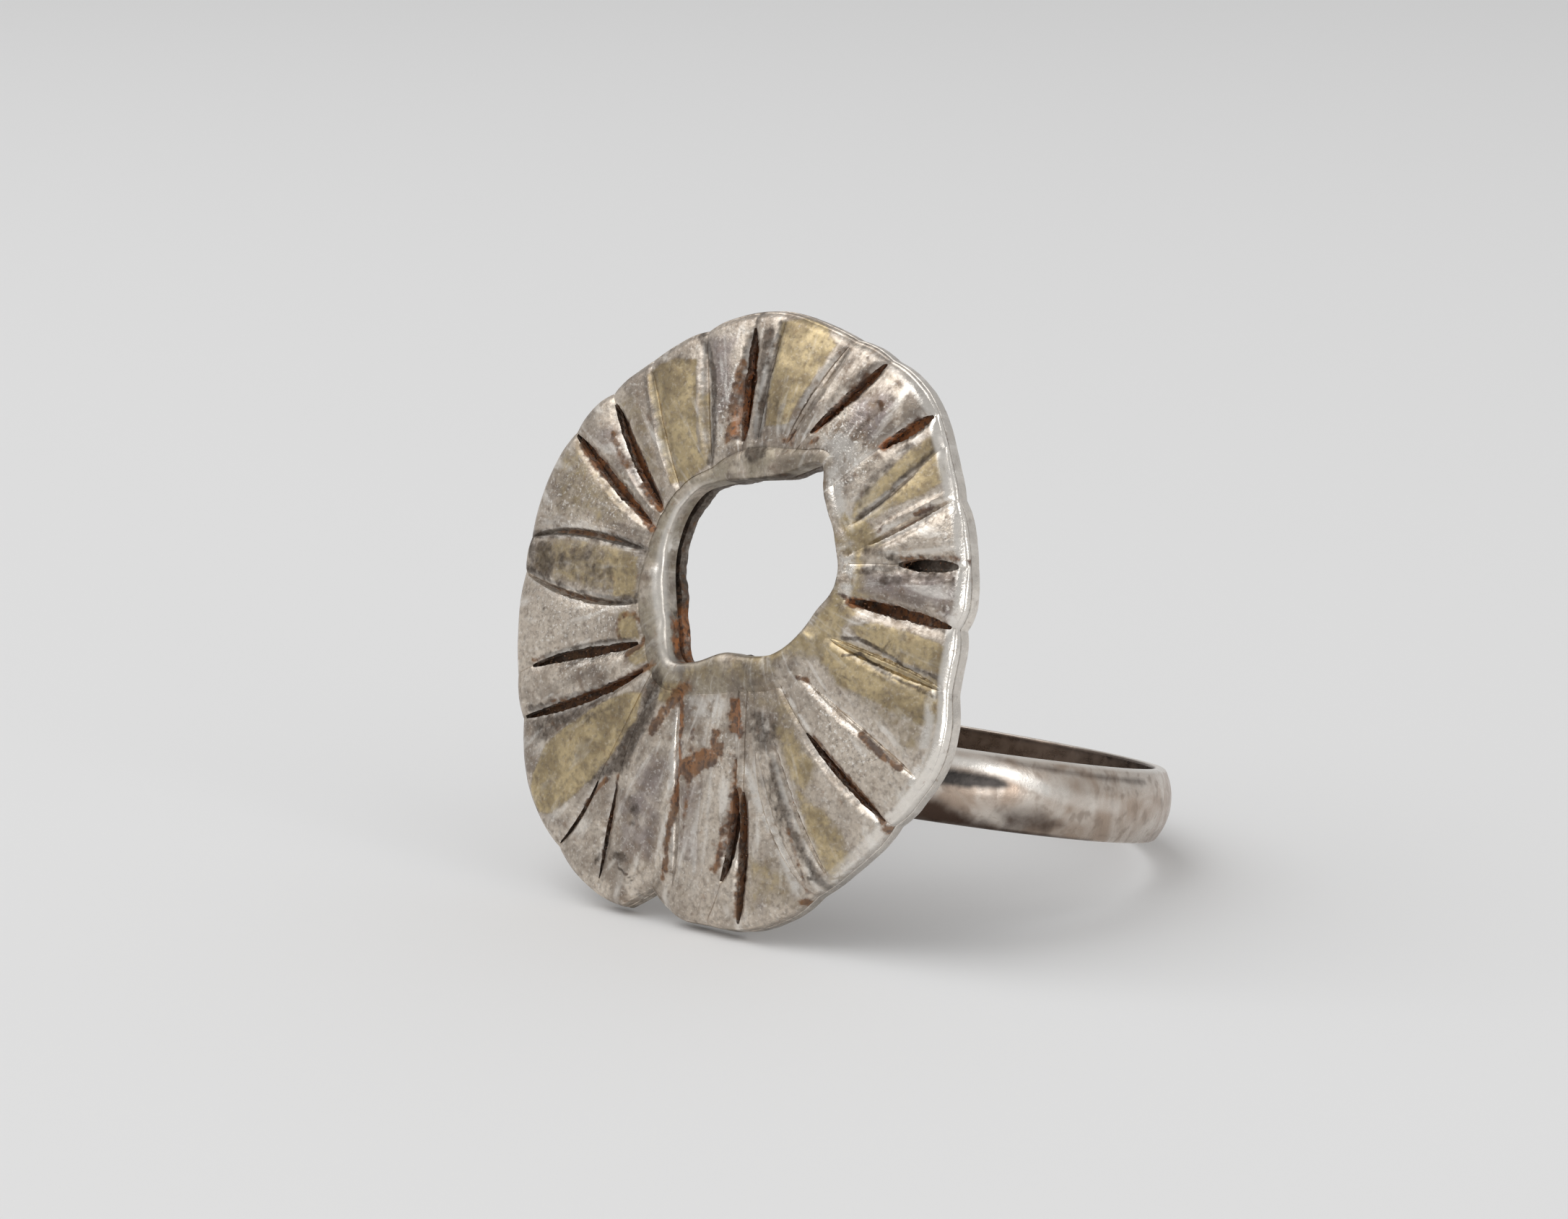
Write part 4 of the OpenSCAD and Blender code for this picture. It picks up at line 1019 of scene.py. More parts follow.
back_sheet = make_piece("back_sheet", place(*np.concatenate(back_points).T),
                        grid_faces(len(BACK_ROWS), BACK_LINES, True))
u, v, w = head_points(back_sheet)
radius, angle = np.hypot(u, v), np.degrees(np.arctan2(v, u)) % 360
glow = np.clip(hollow_glow(radius, angle), 0, 1)
to_rim, from_hole = rim_r(angle) - radius, radius - hole_r(angle)
in_hollow = (w > INSIDE_H) & (to_rim > 0.15) & (from_hole > 0.6)
at_hole = np.where(w > INSIDE_H, 1, smooth_step(0.4, 0.1, from_hole - BACK_HOLE_EXTRA))
# The same orange on the back sheet's edge at the lower left: rust, and a painted orange
# reflection.
low_left = smooth_step(30, 8, np.abs(angle - 222))
# Painted shade: the hollow under the slit at about eight degrees is made near black and less
# rusty.
dark_leaf_shade = smooth_step(9, 5, np.abs(angle - 8))
add_marks(back_sheet, {
    "glow": np.where(in_hollow, glow, 0.5 * low_left),
    "rust": np.where(in_hollow, 1 - 0.8 * dark_leaf_shade, (0.2 + 0.6 * low_left) * at_hole),
    "soot_and_shade": np.where(in_hollow, dark_leaf_shade, (1 - 0.7 * low_left) * at_hole),
    **streak_marks(radius, angle),
    # A painted highlight on the edge of the back sheet at the right.
    "polish_and_highlight": 0.7 * smooth_step(0.3, 0.1, to_rim) * smooth_step(90, 50, np.abs(off(angle, 0)))})

# %% [markdown]
# A finish is a graph of nodes, and so is a Geometry Nodes rule further down. `Graph` adds a node
# at a time and hands back its output, so that a finish below reads like a recipe. All sizes are
# in mm and all patterns hang on Object coordinates, so they stay on the piece whichever way it is
# turned.

# %% A helper for finishes
EDGE = 0.47     # the strength at which a ragged mark has its edge


class Graph:
    """A tree of nodes, built one node at a time."""
    def __init__(self, tree):
        self.tree = tree

    def wire(self, source, socket):
        """Give a socket either another node's output or a plain value."""
        if isinstance(source, bpy.types.NodeSocket):
            self.tree.links.new(source, socket)
        else:
            socket.default_value = source

    def add(self, kind, settings=(), output=0, **sockets):
        """A node with its settings and sockets, by name or, like `in0`, by number."""
        node = self.tree.nodes.new(kind)
        for name, value in dict(settings).items():
            setattr(node, name, value)
        for name, source in sockets.items():
            name = name.replace("_", " ")
            self.wire(source, node.inputs[int(name[2:]) if name.startswith("in") else name])
        return node.outputs[output]

    def math(self, kind, *values):
        return self.add("ShaderNodeMath", {"operation": kind},
                        **{f"in{number}": value for number, value in enumerate(values)})

    def times(self, *values):
        """The first value times the second, plus the third if there is one."""
        return self.math("MULTIPLY_ADD" if len(values) == 3 else "MULTIPLY", *values)


class Finish(Graph):
    """A material."""
    def __init__(self, name):
        self.material = bpy.data.materials.new(name)
        self.material.use_nodes = True
        super().__init__(self.material.node_tree)
        self.shader = self.tree.nodes["Principled BSDF"]
        self.place = self.add("ShaderNodeTexCoord", output="Object")

    def mark(self, name):
        """One of the marks on the points of the mesh."""
        return self.add("ShaderNodeAttribute", {"attribute_name": name}, "Fac")

    def texture(self, at, scale, detail, warp):
        return self.add("ShaderNodeTexNoise", Vector=at, Scale=scale, Detail=detail,
                        Distortion=warp)

    def clouds(self, size, detail=3, warp=0.0, shift=0.0):
        """Noise with clouds of this size, from about 0.2 to 0.8."""
        at = self.add("ShaderNodeMapping", Vector=self.place, Location=(shift * MM, 0, 0))
        return self.texture(at, 1 / (size * MM), detail, warp)

    def streaks(self, size, stretch):
        """Noise drawn out along the petals, from the marks that hold each point's place."""
        at = self.add("ShaderNodeCombineXYZ", X=self.mark("turn"),
                      Y=self.math("DIVIDE", self.mark("reach"), stretch))
        return self.texture(at, 1 / size, 4, 0.3)

    def ramp(self, value, low, high, to_low=0.0, to_high=1.0):
        """A smooth step between two limits, which may also run down."""
        return self.add("ShaderNodeMapRange", {"interpolation_type": "SMOOTHSTEP"}, Value=value,
                        From_Min=low, From_Max=high, To_Min=to_low, To_Max=to_high)

    def ragged(self, name, size=0.5, reach=0.5, shift=0.0, soft=0.25):
        """A mark whose soft edge is torn by small clouds."""
        torn = self.times(self.clouds(size, 4, 0.3, shift), 2 * reach, -reach)
        return self.ramp(self.math("ADD", self.mark(name), torn), EDGE - soft, EDGE + soft)

    def blend(self, under, over, share):
        return self.add("ShaderNodeMix", {"data_type": "RGBA"}, 2, in0=share, in6=under, in7=over)

    def layers(self, colour, *rows):
        """Colours laid over one another, each with its share."""
        for over, share in rows:
            colour = self.blend(colour, over, share)
        return colour

    def bumps(self, height, depth, strength=1.0, **below):
        return self.add("ShaderNodeBump", Height=height, Distance=depth * MM, Strength=strength,
                        **below)

    def set(self, **sockets):
        """Give the shader its values and hand back the material."""
        for name, source in sockets.items():
            self.wire(source, self.shader.inputs[name.replace("_", " ")])
        return self.material


def shade(red, green, blue):
    return (red, green, blue, 1)


print("a plain mid grey, as a shader takes it:", shade(0.5, 0.5, 0.5))

# %% [markdown]
# Sheet silver that was never polished again: grey clouds over warm silver, a sandy sparkle
# painted as pale specks over fine pits, plum-coloured tarnish, thin greenish gold, black soot
# that in places is painted shade, rough rust, pale painted highlights on the rim, the lip's
# crest and the edges of the cuts, and petals painted darker or lighter as shade and light.
# Metal and rust are one shader whose metalness falls to zero under the rust.

# %% Finish of the two sheets
# The pale colour also paints highlights and a sparkle, and the soot colour also paints shade.
SILVER, DULL = shade(0.71, 0.625, 0.53), shade(0.37, 0.315, 0.265)
PALE, BROWNED = shade(0.96, 0.92, 0.86), shade(0.29, 0.22, 0.165)
LILAC, SHADOW = shade(0.345, 0.295, 0.285), shade(0.18, 0.145, 0.12)
GOLD, DULL_GOLD = shade(0.60, 0.48, 0.285), shade(0.29, 0.225, 0.135)
LIP_GREY, SOOT_AND_SHADE = shade(0.39, 0.34, 0.265), shade(0.075, 0.058, 0.047)
RUST, DEEP_RUST = shade(0.185, 0.09, 0.038), shade(0.52, 0.18, 0.052)
DARK_RUST = shade(0.07, 0.038, 0.026)


def sheet_silver(name):
    finish = Finish(name)
    mark, clouds, ragged = finish.mark, finish.clouds, finish.ragged
    times, ramp, math_of = finish.times, finish.ramp, finish.math
    gild, soot_and_shade = ragged("gild", 0.4, 0.6, 0, 0.44), ragged("soot_and_shade", 0.3, 0.95, 5, 0.44)
    rust, plum_and_shade = ragged("rust", 0.26, 0.95, 9, 0.38), ragged("plum_and_shade", 0.9, 0.6, 13, 0.4)
    polish_and_highlight, lip = mark("polish_and_highlight"), mark("lip")
    wide, small = clouds(1.5, 5, 0.5), clouds(0.5, 5, 0.4, 7)
    fine, tone = clouds(0.17, 4, 0, 31), clouds(1.3, 6, 0.3, 17)
    streak = finish.streaks(0.42, 5)
    # More dull silver where it is dirtier, and where petals are painted darker as shade.
    dirt_and_painted_shade = times(mark("clean"), -0.85, 1.0)
    smooth = times(math_of("MAXIMUM", lip, gild), -0.6, 1.0)
    grain_and_sparkle = times(times(mark("sand_and_sparkle"), 0.65, 0.35), smooth)
    # Pale specks that stand in for the glints of the sandy surface: a painted sparkle.
    bright = ramp(clouds(0.11, 3), 0.55, 0.70)
    dark = ramp(clouds(0.13, 3, 0, 3), 0.54, 0.68)
    gold = finish.layers(GOLD, (DULL_GOLD, ramp(tone, 0.44, 0.60, 0, 0.75)),
                         (DULL_GOLD, ramp(gild, 0.98, 0.4, 0, 0.8)),
                         (DULL_GOLD, ramp(small, 0.48, 0.66, 0, 0.4)))
    brown = finish.layers(finish.blend(RUST, DEEP_RUST, mark("glow")),
                          (DARK_RUST, ramp(clouds(0.9, 6, 0.8, 21), 0.42, 0.70)),
                          (DARK_RUST, ramp(fine, 0.48, 0.62, 0, 0.85)))
    # Worn edges and painted highlights, broken up by small clouds.
    worn = times(mark("worn"), ramp(small, 0.66, 0.46, 0, 0.85))
    # Where the silver is painted pale: polish, worn edges and painted highlights.
    rubbed_and_highlight = math_of("MAXIMUM", polish_and_highlight, worn)
    colour = finish.layers(
        SILVER,
        (DULL, times(ramp(wide, 0.38, 0.62), dirt_and_painted_shade)),
        # Plum tarnish, with painted shade on a petal at the upper right.
        (LILAC, times(plum_and_shade, 0.9)),
        (BROWNED, times(ramp(small, 0.46, 0.74, 0, 0.8), dirt_and_painted_shade)),
        (LIP_GREY, times(lip, ramp(tone, 0.36, 0.56, 0.2, 1.0))),
        (SHADOW, times(lip, ramp(wide, 0.48, 0.66, 0, 0.55))),
        (gold, gild),
        (SHADOW, times(times(ramp(streak, 0.50, 0.68, 0, 0.55), smooth), dirt_and_painted_shade)),
        (SHADOW, ramp(fine, 0.42, 0.78, 0, 0.55)),
        (SHADOW, times(times(dark, 0.65), grain_and_sparkle)),
        (PALE, times(ramp(streak, 0.46, 0.30, 0, 0.55), smooth)),
        (PALE, times(bright, grain_and_sparkle)),
        # Soot, and painted shade.
        (SOOT_AND_SHADE, times(soot_and_shade, ramp(fine, 0.35, 0.65, 0.9, 0.6))),
        (PALE, times(rubbed_and_highlight, 0.8)),
        (brown, times(rust, 0.9)))
    rough = times(rubbed_and_highlight, -0.22, ramp(small, 0.3, 0.75, 0.34, 0.48))
    rough = times(math_of("MAXIMUM", rust, times(soot_and_shade, 0.5)), 0.3, rough)
    rough = times(lip, 0.09, rough)
    pits = finish.bumps(clouds(0.085, 2), 0.022, grain_and_sparkle)
    hammered = finish.bumps(clouds(0.5, 3, 0.2), 0.03, 0.5, Normal=pits)
    return finish.set(Base_Color=colour, Roughness=rough, Normal=hammered,
                      Specular_IOR_Level=0.12, Metallic=ramp(rust, 0.15, 0.7, 1.0, 0.0))


SHEET = sheet_silver("old silver, sheet")
front_sheet.data.materials.append(SHEET)
back_sheet.data.materials.append(SHEET)
print("finishes so far:", [m.name for m in bpy.data.materials])

# %% [markdown]
# The band has been handled more, so it is smooth and warm, with brown tarnish and painted
# brown shadows near the head, a pale painted highlight along its crown and upper edge, a dark
# painted patch of shade below it, soft low waves from wear, and a dark inner side. Solder is
# greyer and lumpy, and the crumbs of old residue are dull and brown.

# %% Finish of the band and the solder
BAND_LIGHT, BAND_DULL = shade(0.66, 0.595, 0.53), shade(0.44, 0.345, 0.275)
BAND_CLOUD, BAND_INSIDE = shade(0.30, 0.235, 0.19), shade(0.22, 0.165, 0.13)
BAND_BROWNED, BAND_BLACK = shade(0.07, 0.045, 0.034), shade(0.05, 0.045, 0.042)
SOLDER_LIGHT, SOLDER_DARK = shade(0.62, 0.58, 0.53), shade(0.26, 0.22, 0.19)
CRUMB_LIGHT, CRUMB_DARK = shade(0.16, 0.075, 0.035), shade(0.03, 0.02, 0.016)


def band_silver(name):
    finish = Finish(name)
    ramp, clouds, ragged = finish.ramp, finish.clouds, finish.ragged
    wide, small, polish_and_highlight = clouds(2.2, 4, 0.8), clouds(0.45, 5, 0.4, 4), finish.mark("polish_and_highlight")
    colour = finish.layers(
        BAND_LIGHT,
        (BAND_DULL, ramp(wide, 0.40, 0.62)),
        (BAND_CLOUD, ramp(small, 0.50, 0.70, 0, 0.6)),
        (BAND_INSIDE, ragged("inside", 0.8, 0.6, 3, 0.4)),
        # Brown tarnish, and painted brown shadow near the head.
        (BAND_BROWNED, ragged("brown", 0.6, 0.3, 9, 0.47)),
        # The painted dark patch of shade, and soot inside near the upper edge.
        (BAND_BLACK, ragged("soot_and_shade", 0.5, 0.25, 0, 0.47)),
        # Pale painted highlight on the crown and the upper edge.
        (PALE, finish.times(polish_and_highlight, 0.85)))
    rough = finish.times(polish_and_highlight, -0.06, ramp(small, 0.3, 0.75, 0.24, 0.38))
    pits = finish.bumps(clouds(0.12, 2), 0.015, 0.3)
    return finish.set(Base_Color=colour, Roughness=rough, Metallic=1.0,
                      Normal=finish.bumps(clouds(0.9, 2), 0.05, 0.3, Normal=pits))


def solder_grey(name):
    finish = Finish(name)
    small = finish.clouds(0.4, 4, 0.5)
    return finish.set(Base_Color=finish.blend(SOLDER_LIGHT, SOLDER_DARK,
                                              finish.ramp(small, 0.42, 0.64)),
                      Metallic=1.0, Roughness=finish.ramp(small, 0.3, 0.7, 0.32, 0.55),
                      Normal=finish.bumps(small, 0.12, 0.6))


def crumb_brown(name):
    finish = Finish(name)
    small = finish.clouds(0.2, 3, 0.5)
    return finish.set(Base_Color=finish.blend(CRUMB_LIGHT, CRUMB_DARK,
                                              finish.ramp(small, 0.42, 0.6)),
                      Roughness=finish.ramp(small, 0.3, 0.7, 0.55, 0.8),
                      Normal=finish.bumps(small, 0.03, 0.5))


BAND, SOLDER, CRUMB = (band_silver("old silver, band"), solder_grey("silver solder"),
                       crumb_brown("old residue"))
print("nodes in each finish:", {m.name: len(m.node_tree.nodes) for m in (BAND, SOLDER, CRUMB)})

# %% [markdown]
# Geometry Nodes can follow a craft rule step by step. `Rule` builds such a tree with named
# inputs, and `grow` runs it once and keeps the result as a plain mesh, so that nothing is left
# to work out later.

# %% Geometry Nodes helper


class Rule(Graph):
    """A Geometry Nodes tree with named inputs."""
    def __init__(self, name, **inputs):
        super().__init__(bpy.data.node_groups.new(name, "GeometryNodeTree"))
        for label, kind in inputs.items():
            self.tree.interface.new_socket(label, in_out="INPUT", socket_type="NodeSocket" + kind)
        self.tree.interface.new_socket("Shape", in_out="OUTPUT", socket_type="NodeSocketGeometry")
        self.given = self.tree.nodes.new("NodeGroupInput").outputs
        self.result = self.tree.nodes.new("NodeGroupOutput").inputs["Shape"]

    def scaled(self, vector, size):
        return self.add("ShaderNodeVectorMath", {"operation": "SCALE"}, in0=vector, Scale=size)

    def scatter(self, low, high, seed):
        """A random vector for each point, between two vectors."""
        return self.add("FunctionNodeRandomValue", {"data_type": "FLOAT_VECTOR"}, in0=low,
                        in1=high, Seed=seed)

    def finish(self, shape):
        shape = self.add("GeometryNodeRealizeInstances", Geometry=shape)
        self.wire(self.add("GeometryNodeSetMaterial", Geometry=shape,
                           Material=self.given["Finish"]), self.result)


def grow(name, rule, start=None, **values):
    """Run a tree once and keep its result as a plain mesh object."""
    carrier = put(name + " rule", start or bpy.data.meshes.new(name + " start"))
    modifier = carrier.modifiers.new("rule", "NODES")
    modifier.node_group = rule.tree
    for item in rule.tree.interface.items_tree:
        if item.in_out == "INPUT" and item.name in values:
            modifier[item.identifier] = values[item.name]
    graph = bpy.context.evaluated_depsgraph_get()
    mesh = bpy.data.meshes.new_from_object(carrier.evaluated_get(graph))
    carrier.modifiers.clear()
    bpy.data.objects.remove(carrier)
    piece = put(name, mesh)
    smooth_shade(mesh, 50)
    print(name, "triangles:", triangles(mesh),
          "size, mm:", [round(d / MM, 2) for d in piece.dimensions])
    return piece


print("node trees before the band:", len(bpy.data.node_groups))

# %% [markdown]
# The band is a strip of half-round wire bent round a mandrel, and this tree follows the same
# rule: it bends a flat strip's section to a half round and sweeps it along a circle. The real
# sizes of the band are its inputs.

# %% Band
band_rule = Rule("half-round band", Finger_radius="Float", Width="Float", Thickness="Float",
                 Edge="Float", Lean="Float", Wear="Float", Finish="Material")
given, add, math_of, times = band_rule.given, band_rule.add, band_rule.math, band_rule.times
strip = add("GeometryNodeCurvePrimitiveQuadrilateral", Width=given["Edge"],
            Height=given["Width"])
strip = add("GeometryNodeFilletCurve", {"mode": "POLY"}, Curve=strip, Count=3,
            Radius=times(given["Edge"], 0.16))
strip = add("GeometryNodeResampleCurve", Curve=strip, Count=72)
split = add("ShaderNodeSeparateXYZ", Vector=add("GeometryNodeInputPosition")).node
half_w = times(given["Width"], 0.5)
crown = math_of("SUBTRACT", given["Thickness"], given["Edge"])
crown_r = math_of("DIVIDE", math_of("ADD", times(crown, crown), times(half_w, half_w)),
                  times(crown, 2.0))
across = split.outputs["Y"]
drop = math_of("SQRT", math_of("SUBTRACT", times(crown_r, crown_r), times(across, across)))
swell = math_of("SUBTRACT", drop, math_of("SUBTRACT", crown_r, crown))
out = math_of("ADD", split.outputs["X"], times(given["Edge"], 0.5))
share = math_of("DIVIDE", out, given["Edge"])
section_at = add("ShaderNodeCombineXYZ", X=times(swell, share, out), Y=across)
strip = add("GeometryNodeSetPosition", Geometry=strip, Position=section_at)
path = add("GeometryNodeCurvePrimitiveCircle", Resolution=288, Radius=given["Finger_radius"])
band = add("GeometryNodeCurveToMesh", Curve=path, Profile_Curve=strip)
worn = add("ShaderNodeTexNoise", Scale=420.0, Detail=2.0)
inward = band_rule.scaled(add("GeometryNodeInputNormal"),
                          times(worn, times(given["Wear"], -1.0)))
band = add("GeometryNodeSetPosition", Geometry=band, Offset=inward)
leant = add("ShaderNodeCombineXYZ", X=times(given["Lean"], -1.0))
band_rule.finish(add("GeometryNodeTransform", Geometry=band, Rotation=leant))
shank = grow("band", band_rule, Finger_radius=FINGER_R * MM, Width=SHANK_W * MM,
             Thickness=SHANK_T * MM, Edge=SHANK_EDGE_T * MM, Lean=LEAN, Wear=0.012 * MM,
             Finish=BAND)

# %% [markdown]
# Solder ran into the narrow gap between the band and the back sheet. When it is melted it wets
# both sides and its surface curves in, so its height here falls in a hollow curve to its edges.

# %% Solder behind the head
SOLDER_L, SOLDER_H, SOLDER_W, SOLDER_SINK = 4.4, 0.3, 2.25, 0.1
END_STEEP, SIDE_STEEP, HOLLOW_CURVE = 2.2, 3.0, 1.6     # how it rises from its ends and sides
COLUMNS, ROWS = 72, 40
s, t = np.meshgrid(np.linspace(-1, 1, ROWS), np.linspace(-1, 1, COLUMNS), indexing="ij")
x = t * SOLDER_L / 2 * (1 - 0.08 * waves(2 * t, 2 * s, 5))
z = s * SOLDER_W / 2 * (1 - 0.06 * t * t)
edge = np.minimum(1, np.minimum(END_STEEP * (1 - np.abs(t) ** 3),
                                SIDE_STEEP * (1 - np.abs(s) ** 4)))
rise = SOLDER_H * edge ** HOLLOW_CURVE * (0.85 + 0.15 * waves(3 * t, 3 * s, 9))
solder_points = np.concatenate([np.stack([x, -HEAD_BACK + y, z], -1).reshape(-1, 3)
                                for y in (np.full_like(rise, -SOLDER_SINK), rise)])
flat_n, solder_faces = COLUMNS * ROWS, []
for quad in grid_faces(ROWS, COLUMNS, False):
    solder_faces += [quad, tuple(flat_n + k for k in quad)]
border = (list(range(COLUMNS)) + [i * COLUMNS + COLUMNS - 1 for i in range(1, ROWS)]
          + [(ROWS - 1) * COLUMNS + j for j in range(COLUMNS - 2, -1, -1)]
          + [i * COLUMNS for i in range(ROWS - 2, 0, -1)])
for a, b in zip(border, border[1:] + border[:1]):
    solder_faces.append((a, b, flat_n + b, flat_n + a))
solder = make_piece("solder", lean_back(solder_points), solder_faces)
solder.data.materials.append(SOLDER)

# %% [markdown]
# Old polish, soot and rust have dried to crumbs along the slits. A tree walks each slit's line in
# even steps, drops a crumb a little to a random side of it and gives every crumb its own size and
# turn. Each crumb is a ball of only twenty faces, because there are hundreds of them.

# %% Crumbs along the slits
CRUMB_MM, CRUMB_STEP_MM, CRUMB_SPREAD_MM, CRUMB_SEED = 0.045, 0.16, 0.13, 7
CRUMB_SINK, CRUMB_SHOWS = 0.28, 0.3
SMALLEST, LARGEST = (0.35, 0.35, 0.35), (1.3, 1.0, 0.8)
slit_points, slit_edges = [], []
for number, cut in enumerate(CUTS):
    if cut[DEPTH] != SLIT:
        continue
    path, shown = cut_angle(cut), cut_open(cut) > CRUMB_SHOWS
    radius = line_radius(path)
    level = face_level(face_f, float(shoulder_h(path[-1]))) - CRUMB_SINK
    for side in (-1, 1):
        turned = np.radians(path + side * np.degrees(cut_half(cut, number) / radius))
        first = sum(map(len, slit_points))
        slit_points.append(np.stack([radius * np.cos(turned), radius * np.sin(turned),
                                     level], 1)[shown])
        slit_edges += [(first + k, first + k + 1) for k in range(shown.sum() - 1)]
slit_lines = bpy.data.meshes.new("slit lines")
slit_lines.from_pydata([tuple(p) for p in place(*np.concatenate(slit_points).T)], slit_edges, [])

crumb_rule = Rule("crumbs along lines", Lines="Geometry", Step="Float", Spread="Float",
                  Size="Float", Seed="Int", Finish="Material")
given, add = crumb_rule.given, crumb_rule.add
walk = add("GeometryNodeMeshToCurve", Mesh=given["Lines"])
walk = add("GeometryNodeResampleCurve", {"mode": "LENGTH"}, Curve=walk, Length=given["Step"])
stray = crumb_rule.scatter((-1, -1, -1), (1, 1, 1), given["Seed"])
walk = add("GeometryNodeSetPosition", Geometry=walk,
           Offset=crumb_rule.scaled(stray, given["Spread"]))
ball = add("GeometryNodeMeshIcoSphere", Radius=given["Size"], Subdivisions=1)
turn = crumb_rule.scatter((0, 0, 0), (6.28, 6.28, 6.28), given["Seed"])
grown = crumb_rule.scatter(SMALLEST, LARGEST, crumb_rule.math("ADD", given["Seed"], 1.0))
crumb_rule.finish(add("GeometryNodeInstanceOnPoints", Points=walk, Instance=ball,
                      Rotation=turn, Scale=grown))
residue = grow("residue", crumb_rule, slit_lines, Step=CRUMB_STEP_MM * MM,
               Spread=CRUMB_SPREAD_MM * MM, Size=CRUMB_MM * MM, Seed=CRUMB_SEED, Finish=CRUMB)

# %% [markdown]
# The marks on the band are charted in the same way, on the band laid out flat: how far round it
# and how far across. Its crown and its upper edge carry a painted highlight, partly rubbed
# bright, a painted dark patch of shade and a brown edge lie near the head with painted brown
# shadow closest to it, and its inner side was never polished.

# %% Marks on the band
CHART_R = 9.4   # the band is laid out flat at this radius
# A painted highlight along the crown, partly rubbed bright, where the glossy band catches the
# lights.
BAND_HIGHLIGHT = [
    ("crown beside the head", 1, 0.34, [(-8.3, 0.88), (-6.5, 0.84), (-5.2, 0.74)]),
    ("crown, further down", 0.9, 0.42, [(-5.4, 0.78), (-4.6, 0.56), (-3.7, 0.30)]),
    ("crown, its faint end", 0.4, 0.5, [(-3.9, 0.35), (-2.4, 0.08), (-0.5, 0.0)])]
# A painted dark patch of shade on the glossy band, below its highlight; it also dims the highlight
# the lamps put there.
BAND_PAINTED_SHADE = [
    ("dark patch", 1, 0.20, [(-8.4, 0.60), (-7.0, 0.55), (-6.2, 0.58), (-5.5, 0.50), (-5.1, 0.30),
        (-5.5, 0.14), (-6.6, 0.02), (-8.4, 0.0)])]
# Brown tarnish, and painted brown shadow where the band meets the head.
BAND_BROWN_AND_SHADOW = [
    ("shadow low beside the head", 1, 0.45, [(-12, -0.2), (-8.4, -0.35), (-7.4, -0.5), (-6.7, -0.75),
        (-6.0, -1.0), (-5.0, -1.15), (-5.0, -1.4), (-12, -1.4)]),
    ("shadow close to the head", 1, 0.6, [(-18, 1.4), (-10, 1.4), (-8.8, 0), (-8.6, -1.4),
        (-18, -1.4)]),
    ("lower edge", 0.75, 0.12, [(-6, -1.08), (-3, -1.18), (-1, -1.22), (-1, -1.4), (-6, -1.4)]),
    ("cloud", 0.65, 0.4, [(-5.4, -0.6), (-3.9, -0.3), (-2.6, -0.8), (-3.4, -1.2), (-5, -1.2)]),
    ("below the upper edge", 0.55, 0.12, [(-6.2, 1.16), (-2, 1.05), (1.5, 1.0),
        (1.5, 0.78), (-1.5, 0.82), (-4.5, 0.94)])]
x, y, z = stand_up(shank)
radius, round_mm = np.hypot(x, y), np.arctan2(y, x) * CHART_R
inside_band = smooth_step(FINGER_R + 0.05, FINGER_R + 0.01, radius)
outside = 1 - inside_band
# A painted highlight along the upper edge.
upper_edge_highlight = smooth_step(1.19, 1.24, z) * outside
add_marks(shank, {
    "inside": 0.9 * inside_band,
    "soot_and_shade": np.maximum(outside * charted(round_mm, z, BAND_PAINTED_SHADE, []),
                       0.45 * inside_band * smooth_step(0.9, 1.2, z)),
    "brown": outside * charted(round_mm, z, BAND_BROWN_AND_SHADOW, []),
    "polish_and_highlight": np.maximum(outside * charted(round_mm, z, [], BAND_HIGHLIGHT), 0.7 * upper_edge_highlight)})
print("share of the band that is inside:", round(float(inside_band.mean()), 2))

# %% [markdown]
# All pieces together take the place of the one solid of the ring. They ride on its only body.

# %% Dress the solid
pieces = [front_sheet, back_sheet, shank, solder, residue]
for piece in pieces:
    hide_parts("ring")
    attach(piece, "root")
print("pieces:", {p.name: len(p.data.polygons) for p in pieces})

# %% [markdown]
# The picture was taken with a long lens from the right front and a little above. The same camera
# is built from three directions: to its right, up and forward.

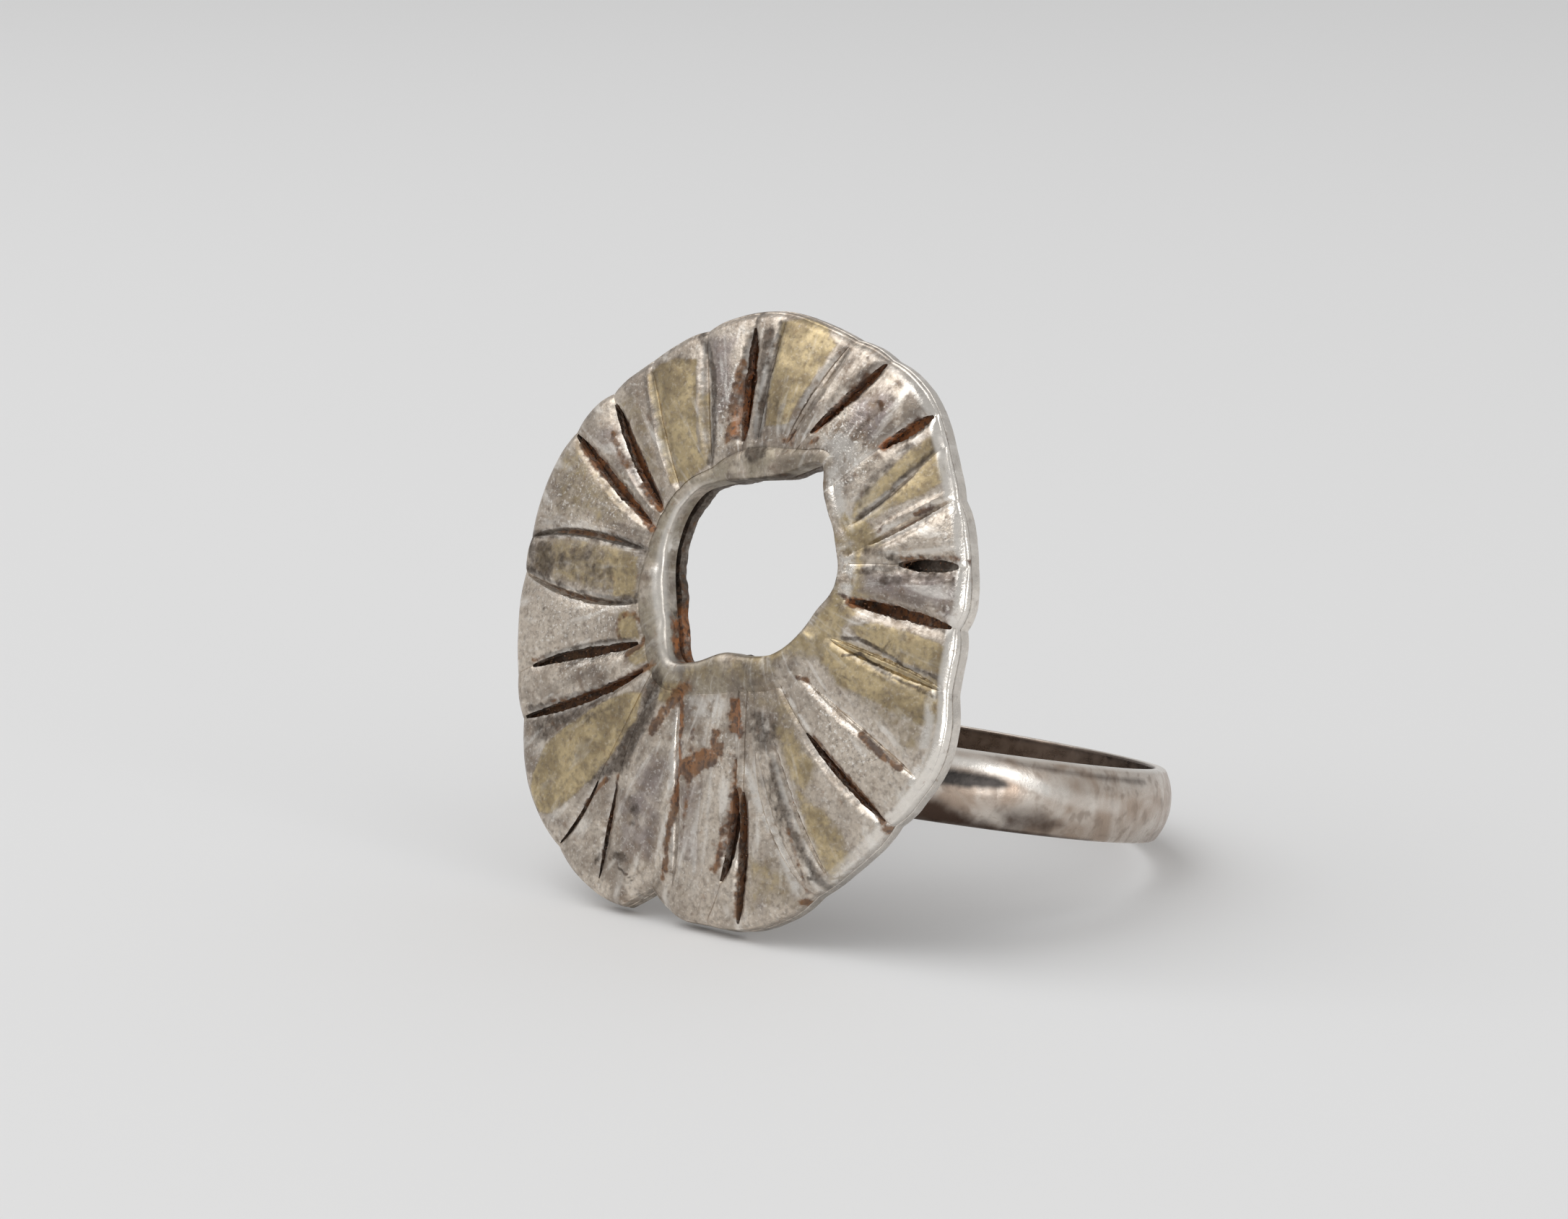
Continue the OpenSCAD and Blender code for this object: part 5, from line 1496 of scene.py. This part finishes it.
# %% Camera
TURN, DROP, ROLL = 0.68604, 0.21901, 0.0039142              # radians
DISTANCE, SHIFT_RIGHT, SHIFT_UP = 153.06, 4.1529, -5.4285   # mm
right = Vector((math.cos(TURN), math.sin(TURN), 0))
forward = Vector((-math.sin(TURN) * math.cos(DROP), math.cos(TURN) * math.cos(DROP),
                  -math.sin(DROP)))
up = right.cross(forward)
spot = MM * (-SHIFT_RIGHT * right - SHIFT_UP * up - DISTANCE * forward)
camera_data = bpy.data.cameras.new("camera")
camera_data.sensor_fit, camera_data.sensor_width, camera_data.lens = "HORIZONTAL", 36, 100
camera_data.clip_start, camera_data.clip_end = 0.01, 20
camera = put("camera", camera_data)
right_rolled = math.cos(ROLL) * right - math.sin(ROLL) * up
up_rolled = math.sin(ROLL) * right + math.cos(ROLL) * up
camera.matrix_world = Matrix((*zip(right_rolled, up_rolled, -forward, spot), (0, 0, 0, 1)))
bpy.context.scene.camera = camera
print("camera at, mm:", [round(c / MM, 1) for c in spot])

# %% [markdown]
# A plain pale floor and soft light from large panels. Bright metal shows only what stands around
# it, so the panels are placed for what the ring reflects as much as for the light they give.

# %% Floor and light
FLOOR_DROP, FLOOR_SPAN, WORLD_LIGHT = 0.01 * MM, 3.0, 0.56
floor_data = bpy.data.meshes.new("floor")
floor_data.from_pydata([(x * FLOOR_SPAN, y * FLOOR_SPAN, solid_low[2] - FLOOR_DROP)
                        for x, y in ((-1, -1), (1, -1), (1, 1), (-1, 1))], [], [(0, 1, 2, 3)])
floor = put("floor", floor_data)
paper = Finish("pale paper")
floor_data.materials.append(paper.set(Base_Color=shade(0.80, 0.80, 0.80), Roughness=0.9,
                                      Specular_IOR_Level=0.1))

world = bpy.data.worlds.new("studio")
world.use_nodes = True
sky = world.node_tree.nodes["Background"].inputs
sky["Color"].default_value, sky["Strength"].default_value = shade(1, 1, 1), WORLD_LIGHT
bpy.context.scene.world = world
bpy.context.scene.view_settings.view_transform = "Standard"

PANELS = [  # name, how far right, up and towards the camera, in m, size, power
    ("key", -0.34, 0.56, 0.06, 0.66, 2.05),
    ("right front", 0.33, 0.08, 0.46, 0.26, 0.5),
    ("right", 0.43, 0.31, 0.34, 0.20, 0.20)]
level_front = Vector((forward.x, forward.y, 0)).normalized()
for name, to_right, height, to_front, size, power in PANELS:
    light = bpy.data.lights.new(name, "AREA")
    light.size, light.energy = size, power
    lamp = put(name, light)
    lamp.location = to_right * right - to_front * level_front + Vector((0, 0, height))
    lamp.rotation_euler = (-lamp.location).to_track_quat("-Z", "Y").to_euler()
print("panels of light:", [row[0] for row in PANELS])
